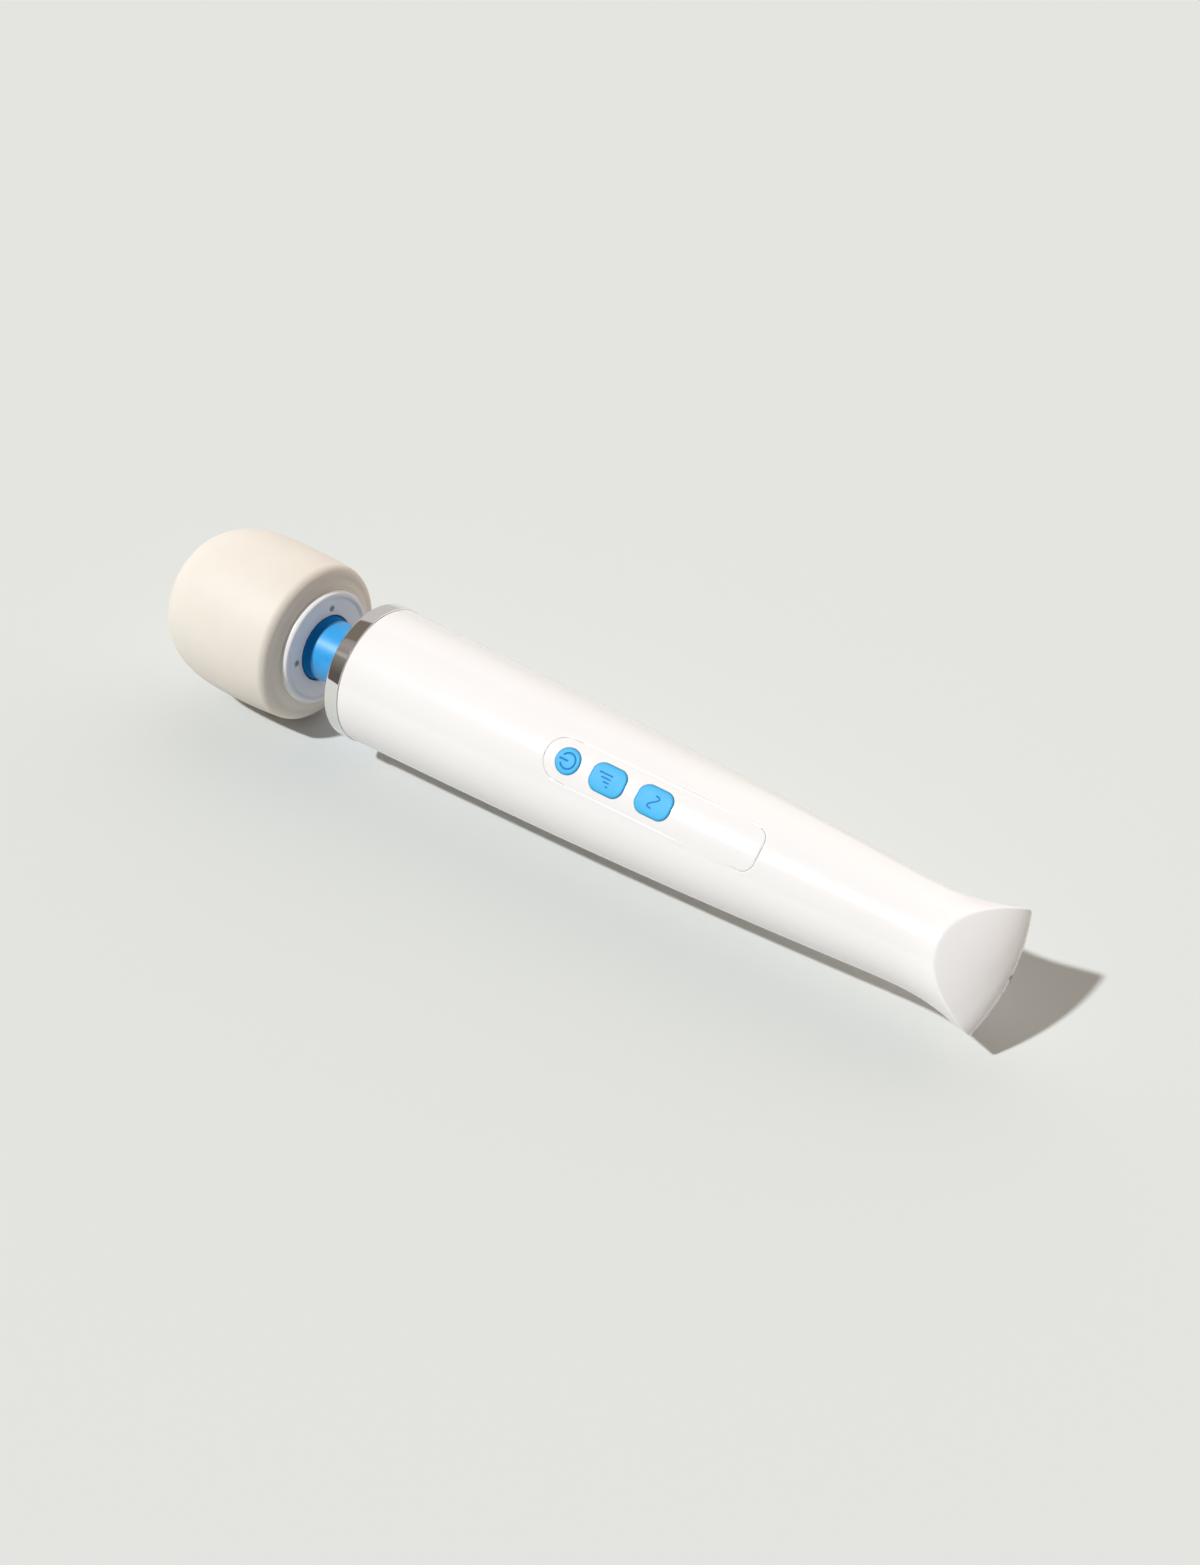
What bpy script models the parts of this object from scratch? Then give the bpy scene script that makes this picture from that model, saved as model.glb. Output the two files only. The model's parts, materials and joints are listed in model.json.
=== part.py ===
"""Rechargeable handheld wand massager, modelled as an assembly.

Layout: the wand lies along X, massage head at -X, charging end at +X, buttons facing +Z.
Every length below is in millimetres in "wand coordinates": x = 0 is the head-side face of the
chrome collar and y = z = 0 is the wand's axis.  The empty `wand_axis` shifts that to the
part frame, whose origin is the middle of the bounding box's bottom face.
"Front" means towards the head, except on the two handle shells: there it is the button side.

Inside, from head to tail: an eccentric weight on a shaft between two ball bearings in the
head, a flexible drive shaft through the sprung rubber neck, the motor, the control board
over two cells in line, and the charging socket in the wedge-shaped end.
"""

import math

import bmesh
import bpy
from mathutils import Vector

MM = 0.001

# ---------------------------------------------------------------- driving dimensions
GAP = 0.3  # clearance between separate pieces

# head
HEAD_R = 29.84  # largest radius of the silicone cover
HEAD_WIDEST_X = -45.0
HEAD_DOME = 35.5  # from the widest section to the front pole
HEAD_POWER = 3.2  # superellipse exponent of the dome
HEAD_REAR_X = -23.5
HEAD_REAR_R = 28.9
HEAD_REAR_FILLET = 4.6
COVER_WALL = 4.0
CAPSULE_WALL = 2.6
LIP_X = HEAD_REAR_X - 4.0  # inner face of the cover's rear lip
PLATE_R = 21.0
PLATE_X = -20.3
PLATE_SCREW_CIRCLE_R = 14.8
PLATE_SCREW_CLOCKS = (31.0, 131.0, 229.0, 293.0)  # degrees from +Y towards +Z

# bearings, shaft and weight in the head
BEARING_R = 8.0
BEARING_WIDTH = 5.0
SHAFT_R = 3.0
FRONT_BEARING_X = -73.4
REAR_BEARING_X = -37.8
WEIGHT_X0, WEIGHT_X1 = -64.0, -42.0
WEIGHT_R = 17.5
WEIGHT_HUB_R = 6.4

# neck
NECK_R = 11.1
NECK_ROOT_R = 12.1  # where the sleeve spreads to meet the plate
NECK_BORE_R = 9.9
NECK_FLANGE_R = NECK_R + 1.9
NECK_PIVOT_X = -10.0
SPRING_X0, SPRING_X1 = -24.2, 8.0
SPRING_COIL_R = 8.5
SPRING_WIRE_R = 0.75
SPRING_TURNS = 7
SPRING_STEPS = 10  # per turn
DRIVE_X0, DRIVE_X1 = -26.8, 3.6
DRIVE_BORE_R = 2.8
DRIVE_CREST_R, DRIVE_GROOVE_R = 4.4, 4.0
DRIVE_STEPS = 10

# collar and handle
COLLAR_R = 24.5
COLLAR_LENGTH = 6.07
HANDLE_X0 = COLLAR_LENGTH + GAP
HANDLE_STATIONS = (  # (x, outer radius): long taper, then the trumpet flare of the tail
    (4.0, 24.2), (55.0, 23.36), (100.0, 22.24), (145.0, 20.46), (185.0, 18.3), (205.0, 17.05),
    (217.0, 16.6), (224.0, 16.9), (230.0, 17.75), (236.0, 19.1), (242.0, 20.5), (248.0, 22.0),
)
WALL = 2.4
END_WALL = 2.8
RIDGE_X = 245.2  # tip of the tail's wedge, on the axis
RIDGE_SLOPE = 1.77  # how fast the wedge falls away above and below the ridge
RIDGE_ROUND = 8.0
RIDGE_BOW = 0.008  # how far the ridge curves back towards its two corners
SEAM = 0.15  # half the gap between the two handle shells
SHELL_STEPS = 14  # around each shell
TAIL_ROWS_X = 200.0  # rows are coarse before this x and close together after it
CORNER_SEARCH = (205.0, 247.5)  # range of x that holds the corner between side and end
BODY_ROWS, TAIL_ROWS, END_ROWS = 6, 5, 4
SHELL_SCREWS = (  # (x, y, post radius, recess radius)
    (84.0, 13.4, 3.0, 2.3),
    (84.0, -13.4, 3.0, 2.3),
    (226.2, 9.6, 2.5, 2.0),
    (226.2, -9.6, 2.5, 2.0),
)
SCREW_SEAT_DEPTH = 4.4  # from the rear shell's outside to the bottom of the screw recess

# motor
MOTOR_R = 16.5
MOTOR_X0, MOTOR_X1 = 17.0, 70.0
MOTOR_CAN_BORE_R = 15.0
MOTOR_SHAFT_HOLE_R = 2.9

# controls
PANEL_X0, PANEL_X1 = 87.4, 165.8
PANEL_HALF = 7.2
PANEL_THICK = 1.2
PANEL_FRONT_CORNER, PANEL_REAR_CORNER = 7.0, 4.2
PANEL_ACROSS = 4  # faces across the panel
WINDOW_X0, WINDOW_X1, WINDOW_HALF = 90.4, 154.2, 6.2
POWER_X, LEVEL_X, PATTERN_X = 96.0, 111.2, 128.3
POWER_D = 8.7
RECT_L, RECT_W, RECT_CORNER = 12.4, 9.45, 3.6
BUTTON_PROUD = 0.45
BUTTON_BASE = 2.6  # depth of the key's underside below the handle's surface
BUTTON_CHAMFER = 0.6
FLANGE_TOP, FLANGE_BASE = 2.3, 3.1  # depths of the key's flange below the same surface

# electronics
BOARD_Z0, BOARD_Z1 = 12.4, 14.0
BOARD_X, BOARD_LENGTH, BOARD_WIDTH = 122.6, 78.0, 17.6
BOARD_SCREW_X = (86.8, 158.8)
SWITCH_HALF = 2.6
SWITCH_TOP = 15.6
LIGHT_X = 146.6
LED_PITCH = 3.5
CELL_R, CELL_LENGTH, CELL_Z = 9.1, 65.0, -3.0
CELL_X = (90.0, 157.5)
TRAY_X = (88.0, 223.2)
TRAY_STEPS = 12
WIRE_R = 0.55

# charging port
BEZEL_X0, BEZEL_FACE_X = 240.8, 245.5
BEZEL_HALF_Y, BEZEL_HALF_Z = 6.5, 3.1
JACK_R = 2.8

X_SHIFT = -0.5 * (BEZEL_FACE_X + (HEAD_WIDEST_X - HEAD_DOME))
Z_SHIFT = HEAD_R

for old in list(bpy.data.objects):
    bpy.data.objects.remove(old, do_unlink=True)


# ---------------------------------------------------------------- materials
def linear(channel):
    """One 0-255 sRGB channel as linear light."""
    channel /= 255.0
    return channel / 12.92 if channel <= 0.04045 else ((channel + 0.055) / 1.055) ** 2.4


def material(name, rgb, roughness, metallic=0.0):
    mat = bpy.data.materials.new(name)
    mat.use_nodes = True
    shader = mat.node_tree.nodes["Principled BSDF"]
    colour = tuple(linear(channel) for channel in rgb) + (1.0,)
    shader.inputs["Base Color"].default_value = colour
    shader.inputs["Roughness"].default_value = roughness
    shader.inputs["Metallic"].default_value = metallic
    mat.diffuse_color = colour
    return mat


CREAM = material("silicone_cream", rgb=(238, 228, 214), roughness=0.55)
PLATE_WHITE = material("plate_white", rgb=(236, 235, 238), roughness=0.3)
WHITE = material("shell_white", rgb=(246, 245, 243), roughness=0.16)
BLUE_NECK = material("neck_blue", rgb=(63, 160, 225), roughness=0.42)
BLUE_KEY = material("key_blue", rgb=(74, 178, 242), roughness=0.3)
CHROME = material("collar_chrome", rgb=(205, 204, 202), roughness=0.06, metallic=1.0)
STEEL = material("steel", rgb=(150, 150, 152), roughness=0.32, metallic=1.0)
DARK_STEEL = material("screw_steel", rgb=(96, 96, 98), roughness=0.36, metallic=1.0)
BRASS = material("brass", rgb=(190, 150, 74), roughness=0.3, metallic=1.0)
COPPER = material("copper_winding", rgb=(180, 98, 52), roughness=0.4, metallic=1.0)
RUBBER = material("black_rubber", rgb=(34, 34, 36), roughness=0.7)
BLACK = material("black_plastic", rgb=(26, 26, 28), roughness=0.45)
PCB = material("board_green", rgb=(24, 92, 58), roughness=0.4)
CELL = material("cell_wrap", rgb=(62, 84, 150), roughness=0.38)
KEYPAD = material("keypad_silicone", rgb=(198, 202, 206), roughness=0.6)
DIFFUSER = material("light_diffuser", rgb=(232, 236, 240), roughness=0.35)
LED = material("led_lens", rgb=(236, 238, 226), roughness=0.2)
RED_WIRE = material("wire_red", rgb=(178, 32, 30), roughness=0.45)
BLACK_WIRE = material("wire_black", rgb=(28, 28, 30), roughness=0.45)


# ---------------------------------------------------------------- axes
def empty(name, location, parent=None):
    axis = bpy.data.objects.new(name, None)
    bpy.context.scene.collection.objects.link(axis)
    axis.empty_display_size = 0.01
    axis.location = Vector(location) * MM
    axis.parent = parent
    return axis


root = empty("wand_axis", (X_SHIFT, 0, Z_SHIFT))
neck_pivot = empty("neck_pivot", (NECK_PIVOT_X, 0, 0), root)
head_axis = empty("head_axis", (0, 0, 0), neck_pivot)
motor_axis = empty("motor_axis", (0, 0, 0), root)

# placing of the pieces that tilt with the head about the neck pivot
ON_HEAD = {"parent": head_axis, "origin": (NECK_PIVOT_X, 0, 0)}


# ---------------------------------------------------------------- solids
def make(name, verts, faces, mat=None, origin=(0, 0, 0), parent=root):
    """One object from wand coordinates, with its own origin at `origin` in wand coordinates."""
    mesh = bpy.data.meshes.new(name)
    origin = Vector(origin)
    mesh.from_pydata([(Vector(vert) - origin) * MM for vert in verts], [], faces)
    bm = bmesh.new()
    bm.from_mesh(mesh)
    bmesh.ops.remove_doubles(bm, verts=bm.verts, dist=1e-7)
    bmesh.ops.dissolve_degenerate(bm, edges=bm.edges, dist=1e-8)
    bmesh.ops.recalc_face_normals(bm, faces=bm.faces)
    if bm.calc_volume(signed=True) < 0:
        bmesh.ops.reverse_faces(bm, faces=bm.faces)
    bm.to_mesh(mesh)
    bm.free()
    mesh.shade_smooth()
    mesh.set_sharp_from_angle(angle=math.radians(35))
    if mat:
        mesh.materials.append(mat)
    obj = bpy.data.objects.new(name, mesh)
    bpy.context.scene.collection.objects.link(obj)
    obj.parent = parent
    parent_x = NECK_PIVOT_X if parent in (neck_pivot, head_axis) else 0
    obj.location = (origin - Vector((parent_x, 0, 0))) * MM
    return obj


def turned(name, profile, mat, segs, centre=(0.0, 0.0), closed=False, **placing):
    """A solid of revolution about X through `centre` (y, z).  profile is (x, radius) points;
    with closed=False both ends lie on the axis, with closed=True it is the section of a ring."""
    verts, rings = [], []
    for x, radius in profile:
        if radius < 1e-6:
            rings.append([len(verts)] * segs)
            verts.append((x, *centre))
            continue
        rings.append([len(verts) + k for k in range(segs)])
        for k in range(segs):
            angle = 2 * math.pi * k / segs
            verts.append((x, centre[0] + radius * math.cos(angle),
                          centre[1] + radius * math.sin(angle)))
    pairs = list(zip(rings, rings[1:]))
    if closed:
        pairs.append((rings[-1], rings[0]))
    faces = []
    for near, far in pairs:
        for k in range(segs):
            j = (k + 1) % segs
            # a ring shrunk to a point repeats its index: keep each index once
            face = list(dict.fromkeys((near[k], near[j], far[j], far[k])))
            if len(face) > 2:
                faces.append(face)
    return make(name, verts, faces, mat, **placing)


def rod(name, x0, x1, radius, segs, mat=None, chamfer=0.0, **placing):
    profile = [(x0, 0), (x0, radius), (x1, radius), (x1, 0)]
    if chamfer:
        profile = [(x0, 0), (x0, radius - chamfer), (x0 + chamfer, radius),
                   (x1 - chamfer, radius), (x1, radius - chamfer), (x1, 0)]
    return turned(name, profile, mat, segs, **placing)


def ring(name, x0, x1, inner, outer, segs, mat, **placing):
    """A plain ring about the wand's axis."""
    profile = [(x0, inner), (x0, outer), (x1, outer), (x1, inner)]
    return turned(name, profile, mat, segs, closed=True, **placing)


def prism(name, outline, z0, z1, mat=None, chamfer=0.0, **placing):
    """An outline in XY raised from z0 to z1, its top edge drawn in by `chamfer`."""
    n = len(outline)
    mid_x = sum(point[0] for point in outline) / n
    mid_y = sum(point[1] for point in outline) / n
    levels = [(z0, 0.0)] + ([(z1 - chamfer, 0.0), (z1, chamfer)] if chamfer else [(z1, 0.0)])
    verts = []
    for z, inset in levels:
        for x, y in outline:
            distance = math.hypot(x - mid_x, y - mid_y)
            scale = (distance - inset) / distance
            verts.append((mid_x + (x - mid_x) * scale, mid_y + (y - mid_y) * scale, z))
    faces = [list(range(n))[::-1], [len(verts) - n + k for k in range(n)]]
    for i in range(len(levels) - 1):
        for k in range(n):
            j = (k + 1) % n
            faces.append([i * n + k, i * n + j, (i + 1) * n + j, (i + 1) * n + k])
    return make(name, verts, faces, mat, **placing)


def block(name, low, high, mat=None):
    outline = [(low[0], low[1]), (high[0], low[1]), (high[0], high[1]), (low[0], high[1])]
    return prism(name, outline, low[2], high[2], mat)


def along_x(name, outline, x0, x1, mat=None, **placing):
    """An outline in YZ raised along X."""
    n = len(outline)
    verts = [(x, y, z) for x in (x0, x1) for y, z in outline]
    faces = [list(range(n)), [n + k for k in range(n)]]
    faces += [[k, (k + 1) % n, n + (k + 1) % n, n + k] for k in range(n)]
    return make(name, verts, faces, mat, **placing)


def tube_along(name, points, radius, mat, sides=6):
    """A wire swept through points, closed with flat ends."""
    verts, n = [], len(points)
    up = Vector((0, 0, 1))
    for i, point in enumerate(points):
        ahead, behind = points[min(i + 1, n - 1)], points[max(i - 1, 0)]
        tangent = (Vector(ahead) - Vector(behind)).normalized()
        across = up - tangent * up.dot(tangent)
        if across.length > 0.2:
            up = across.normalized()
        else:
            up = Vector((0, 1, 0)).cross(tangent).normalized()
        side = tangent.cross(up)
        for k in range(sides):
            angle = 2 * math.pi * k / sides
            verts.append(Vector(point) + (up * math.cos(angle) + side * math.sin(angle)) * radius)
    faces = []
    for i in range(n - 1):
        for k in range(sides):
            j = (k + 1) % sides
            faces.append([i * sides + k, i * sides + j, (i + 1) * sides + j, (i + 1) * sides + k])
    faces.append(list(range(sides)))
    faces.append([(n - 1) * sides + k for k in range(sides)])
    return make(name, verts, faces, mat)


# ---------------------------------------------------------------- outlines, curves, booleans
def circle(x, y, radius, segs):
    angles = [2 * math.pi * k / segs for k in range(segs)]
    return [(x + radius * math.cos(angle), y + radius * math.sin(angle)) for angle in angles]


def rounded_rect(x, y, length, width, radius, steps=3):
    points = []
    for sign_x, sign_y, start in ((1, 1, 0), (-1, 1, 90), (-1, -1, 180), (1, -1, 270)):
        for k in range(steps + 1):
            angle = math.radians(start + 90 * k / steps)
            points.append((
                x + sign_x * (length / 2 - radius) + radius * math.cos(angle),
                y + sign_y * (width / 2 - radius) + radius * math.sin(angle),
            ))
    return points


def arc(radius, degrees):
    return [(radius * math.cos(math.radians(angle)), radius * math.sin(math.radians(angle)))
            for angle in degrees]


def bend_points(controls, steps=8):
    """Points on the Bezier curve of four control points."""
    points = []
    for k in range(steps + 1):
        t = k / steps
        weights = ((1 - t) ** 3, 3 * t * (1 - t) ** 2, 3 * t * t * (1 - t), t ** 3)
        points.append(tuple(sum(weight * point[i] for weight, point in zip(weights, controls))
                            for i in range(3)))
    return points


def boolean(target, tool, operation):
    tool.hide_render = True
    tool.display_type = "WIRE"
    modifier = target.modifiers.new(tool.name, "BOOLEAN")
    modifier.operation = operation
    modifier.solver = "EXACT"
    modifier.object = tool


def cut(target, tool):
    boolean(target, tool, "DIFFERENCE")


def join(target, tool):
    boolean(target, tool, "UNION")


# ---------------------------------------------------------------- form of the handle
def handle_radius(x):
    """Cubic through the stations, with the slope at each one set by its neighbours."""
    stations = HANDLE_STATIONS
    last = len(stations) - 1

    def slope(i):
        before, after = stations[max(i - 1, 0)], stations[min(i + 1, last)]
        return (after[1] - before[1]) / (after[0] - before[0])

    x = min(max(x, stations[0][0]), stations[-1][0])
    i = max(k for k in range(last) if stations[k][0] <= x)
    span = stations[i + 1][0] - stations[i][0]
    t = (x - stations[i][0]) / span
    return (
        (2 * t ** 3 - 3 * t ** 2 + 1) * stations[i][1]
        + (t ** 3 - 2 * t ** 2 + t) * span * slope(i)
        + (-2 * t ** 3 + 3 * t ** 2) * stations[i + 1][1]
        + (t ** 3 - t ** 2) * span * slope(i + 1)
    )


def surface_height(x, y, depth=0.0):
    """Height above the axis of the handle's side, `depth` inside its outer surface."""
    return math.sqrt((handle_radius(x) - depth) ** 2 - y * y)


def wedge_x(y, z):
    """The end surface: a rounded ridge along Y that falls away above and below."""
    fall = RIDGE_SLOPE * (math.hypot(z, RIDGE_ROUND) - RIDGE_ROUND)
    return RIDGE_X - fall - RIDGE_BOW * y * y


def handle_meridian(theta, wall=0.0, end_wall=0.0):
    """One line of the handle at angle theta from +Y, from its front rim to the axis at the tail."""
    cosine, sine = math.cos(theta), math.sin(theta)

    def side_point(x):
        radius = handle_radius(x) - wall
        return x, radius * cosine, radius * sine

    # halve the range until it closes on the corner between side and end
    low, high = CORNER_SEARCH
    for _ in range(40):
        middle = 0.5 * (low + high)
        _, y, z = side_point(middle)
        if middle < wedge_x(y, z) - end_wall:
            low = middle
        else:
            high = middle
    corner_x = low
    line = [side_point(HANDLE_X0 + (TAIL_ROWS_X - HANDLE_X0) * k / BODY_ROWS)
            for k in range(BODY_ROWS)]
    line += [side_point(TAIL_ROWS_X + (corner_x - TAIL_ROWS_X) * k / TAIL_ROWS)
             for k in range(TAIL_ROWS + 1)]
    corner_r = handle_radius(corner_x) - wall
    for k in range(1, END_ROWS + 1):
        radius = corner_r * (1 - k / END_ROWS)
        y, z = radius * cosine, radius * sine
        line.append((wedge_x(y, z) - end_wall, y, z))
    return line


def handle_half(name, side):
    """One shell of the handle: the outer and inner surfaces of one side, joined along the seam.
    side is +1 for the button side and -1 for the back."""
    angles = [side * math.pi * k / SHELL_STEPS for k in range(SHELL_STEPS + 1)]
    outer = [handle_meridian(theta) for theta in angles]
    inner = [handle_meridian(theta, WALL, END_WALL) for theta in angles]
    verts, index = [], {}
    for layer, grid in enumerate((outer, inner)):
        for i, line in enumerate(grid):
            for j, (x, y, z) in enumerate(line):
                index[layer, i, j] = len(verts)
                verts.append((x, y, side * max(side * z, SEAM)))
    n = len(outer[0])
    faces = []
    for layer in (0, 1):
        for i in range(SHELL_STEPS):
            for j in range(n - 1):
                face = [index[layer, i, j], index[layer, i + 1, j],
                        index[layer, i + 1, j + 1], index[layer, i, j + 1]]
                faces.append(face[::-1] if layer else face)
    for j in range(n - 1):
        for i in (0, SHELL_STEPS):
            faces.append([index[0, i, j], index[0, i, j + 1], index[1, i, j + 1], index[1, i, j]])
    for i in range(SHELL_STEPS):
        faces.append([index[0, i, 0], index[1, i, 0], index[1, i + 1, 0], index[0, i + 1, 0]])
    return make(name, verts, faces, WHITE)


def panel_half_width(x, grow):
    """Half the panel's width at x: nearly a half circle at the head end, small corners at
    the tail."""
    half = PANEL_HALF + grow
    x0, x1 = PANEL_X0 - grow, PANEL_X1 + grow
    front_r, rear_r = PANEL_FRONT_CORNER + grow, PANEL_REAR_CORNER + grow
    width = half
    if x < x0 + front_r:
        width = half - front_r + math.sqrt(max(front_r ** 2 - (x0 + front_r - x) ** 2, 0))
    if x > x1 - rear_r:
        width = half - rear_r + math.sqrt(max(rear_r ** 2 - (x - x1 + rear_r) ** 2, 0))
    return width


def panel_solid(name, top, bottom, mat=None, grow=0.0):
    """A plate that follows the handle's surface under the panel's outline, between two offsets."""
    x0, x1 = PANEL_X0 - grow, PANEL_X1 + grow
    corner_steps = (0.0, 0.6, 2.0, PANEL_REAR_CORNER)
    straight_x0 = x0 + PANEL_FRONT_CORNER
    straight_length = x1 - PANEL_REAR_CORNER - straight_x0
    xs = [x0 + step for step in corner_steps]
    xs += [straight_x0 + straight_length * k / 5 for k in range(5)]
    xs += [x1 - step for step in corner_steps[::-1]]
    verts = []
    for x in xs:
        width = max(panel_half_width(x, grow), 0.6)
        for offset in (top, bottom):
            for k in range(PANEL_ACROSS + 1):
                y = width * (2 * k / PANEL_ACROSS - 1)
                verts.append((x, y, surface_height(x, y) + offset))
    under = PANEL_ACROSS + 1  # from a top vertex to the bottom one under it
    row = 2 * under
    faces = []
    for i in range(len(xs) - 1):
        near, far = i * row, (i + 1) * row
        for k in range(PANEL_ACROSS):
            faces.append([near + k, near + k + 1, far + k + 1, far + k])
            faces.append([near + under + k, far + under + k,
                          far + under + k + 1, near + under + k + 1])
        for k in (0, PANEL_ACROSS):
            faces.append([near + k, far + k, far + under + k, near + under + k])
    for end in (0, (len(xs) - 1) * row):
        for k in range(PANEL_ACROSS):
            faces.append([end + k, end + k + 1, end + under + k + 1, end + under + k])
    return make(name, verts, faces, mat)


# ---------------------------------------------------------------- head shells
def head_outer(steps, inset=0.0):
    """The dome's profile from the front pole to the widest section, moved in by `inset`."""
    profile = []
    for k in range(steps + 1):
        angle = 0.5 * math.pi * (k / steps)
        profile.append((
            HEAD_WIDEST_X - (HEAD_DOME - inset) * math.cos(angle) ** (2 / HEAD_POWER),
            (HEAD_R - inset) * math.sin(angle) ** (2 / HEAD_POWER),
        ))
    return profile


# silicone cover, with a rounded rear edge and a lip that turns in to the plate
fillet = [(HEAD_REAR_X + HEAD_REAR_FILLET * (math.sin(angle) - 1),
           HEAD_REAR_R + HEAD_REAR_FILLET * (math.cos(angle) - 1))
          for angle in (0, math.pi / 5, 0.36 * math.pi, math.pi / 2)]
cover_profile = (
    head_outer(9)
    + fillet
    + [(HEAD_REAR_X, PLATE_R + 0.4), (LIP_X, PLATE_R + 0.4), (LIP_X, 25.2)]
    + head_outer(6, COVER_WALL)[::-1]
)
turned("head_cover", cover_profile, CREAM, 28, **ON_HEAD)

# rigid capsule inside the cover, with the front bearing's pocket at its pole
pocket_floor = FRONT_BEARING_X - 0.4
pocket_mouth = FRONT_BEARING_X + BEARING_WIDTH + 0.4
capsule_in = [point for point in head_outer(6, COVER_WALL + GAP + CAPSULE_WALL)
              if point[1] > 12.0]
capsule_profile = (
    head_outer(6, COVER_WALL + GAP)
    + [(-33.0, 25.3), (-33.0, 22.7)]
    + capsule_in[::-1]
    + [(-71.6, 11.0), (pocket_mouth, 10.6), (pocket_mouth, BEARING_R + GAP),
       (pocket_floor, BEARING_R + GAP), (pocket_floor, 0)]
)
turned("head_capsule", capsule_profile, WHITE, 28, **ON_HEAD)

# rear plate: closes the cover and the capsule and holds the rear bearing
plate_profile = [
    (PLATE_X - 0.5, NECK_ROOT_R + GAP), (PLATE_X - 0.5, PLATE_R - 2.7),
    (PLATE_X, PLATE_R - 1.9), (PLATE_X, PLATE_R - 1.1),
    (PLATE_X - 0.6, PLATE_R - 0.1), (PLATE_X - 1.4, PLATE_R),
    (LIP_X - GAP, PLATE_R), (LIP_X - GAP, 25.0), (-32.6, 25.0), (-32.6, 22.2),
    (-31.0, 22.2), (-31.0, 11.6), (-38.4, 11.6), (-38.4, BEARING_R + GAP),
    (-32.4, BEARING_R + GAP), (-32.4, 4.9), (-27.2, 4.9), (-27.2, NECK_ROOT_R + GAP),
]
plate = turned("head_rear_plate", plate_profile, PLATE_WHITE, 24, closed=True, **ON_HEAD)

# plate screws in stepped holes; both profiles are (x, radius)
PLATE_HOLE = [(-33.0, 0), (-33.0, 1.2), (-26.4, 1.2), (-26.4, 1.8), (-18.0, 1.8), (-18.0, 0)]
PLATE_SCREW = [(-32.2, 0), (-32.2, 0.9), (-26.1, 0.9), (-26.1, 1.45), (-22.6, 1.45),
               (-22.3, 1.2), (-22.3, 0)]
for n, centre in enumerate(arc(PLATE_SCREW_CIRCLE_R, PLATE_SCREW_CLOCKS), 1):
    cut(plate, turned(f"cut_plate_screw_{n}", PLATE_HOLE, None, 8, centre, **ON_HEAD))
    turned(f"head_screw_{n}", PLATE_SCREW, DARK_STEEL, 8, centre, **ON_HEAD)


# ---------------------------------------------------------------- head mechanism
def bearing(name, x0):
    """A sealed ball bearing as one ring, with a shallow groove between its races on each face."""
    inner, outer = SHAFT_R + GAP, BEARING_R
    face = [(0.0, inner), (0.0, inner + 1.3), (0.5, inner + 1.5),
            (0.5, outer - 1.5), (0.0, outer - 1.3), (0.0, outer)]  # (depth, radius)
    profile = [(x0 + depth, radius) for depth, radius in face]
    profile += [(x0 + BEARING_WIDTH - depth, radius) for depth, radius in face[::-1]]
    turned(name, profile, STEEL, 16, closed=True, **ON_HEAD)


bearing("front_bearing", FRONT_BEARING_X)
bearing("rear_bearing", REAR_BEARING_X)

# head shaft, stepped down at its rear end for the drive shaft
turned(
    "head_shaft",
    [(-73.0, 0), (-73.0, 2.7), (-72.7, SHAFT_R), (-33.0, SHAFT_R), (-32.6, 2.5), (-24.3, 2.5),
     (-24.0, 2.2), (-24.0, 0)],
    STEEL, 16, **ON_HEAD)

# eccentric weight: a thick sector hung from a hub, with a set screw in the hub's top
weight_outline = arc(WEIGHT_R, range(190, 351, 16)) + arc(WEIGHT_HUB_R, range(0, 181, 22))
weight = along_x("eccentric_weight", weight_outline, WEIGHT_X0, WEIGHT_X1, BRASS, **ON_HEAD)
cut(weight, rod("cut_weight_bore", WEIGHT_X0 - 1, WEIGHT_X1 + 1, SHAFT_R + GAP, 16,
                parent=head_axis))
weight_mid_x = (WEIGHT_X0 + WEIGHT_X1) / 2
cut(weight, prism("cut_set_screw", circle(weight_mid_x, 0, 1.9, 10), 2.0, 9.0, parent=head_axis))
prism("weight_set_screw", circle(weight_mid_x, 0, 1.5, 10), 3.4, 6.2, DARK_STEEL,
      parent=head_axis)

# ---------------------------------------------------------------- neck
# rubber sleeve, spread at the plate and flanged inside the handle
turned(
    "neck_sleeve",
    [(-26.9, NECK_BORE_R), (-26.9, NECK_ROOT_R), (-20.9, NECK_ROOT_R), (PLATE_X, 11.6),
     (-19.4, 11.2), (-18.4, NECK_R), (-0.4, NECK_R), (8.6, NECK_R), (8.6, NECK_FLANGE_R),
     (10.4, NECK_FLANGE_R), (10.4, NECK_BORE_R)],
    BLUE_NECK, 32, closed=True)

coil = []
coil_points = SPRING_TURNS * SPRING_STEPS
for k in range(coil_points + 1):
    angle = 2 * math.pi * k / SPRING_STEPS
    coil.append((SPRING_X0 + (SPRING_X1 - SPRING_X0) * k / coil_points,
                 SPRING_COIL_R * math.cos(angle), SPRING_COIL_R * math.sin(angle)))
tube_along("neck_spring", coil, SPRING_WIRE_R, STEEL, sides=4)

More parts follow.
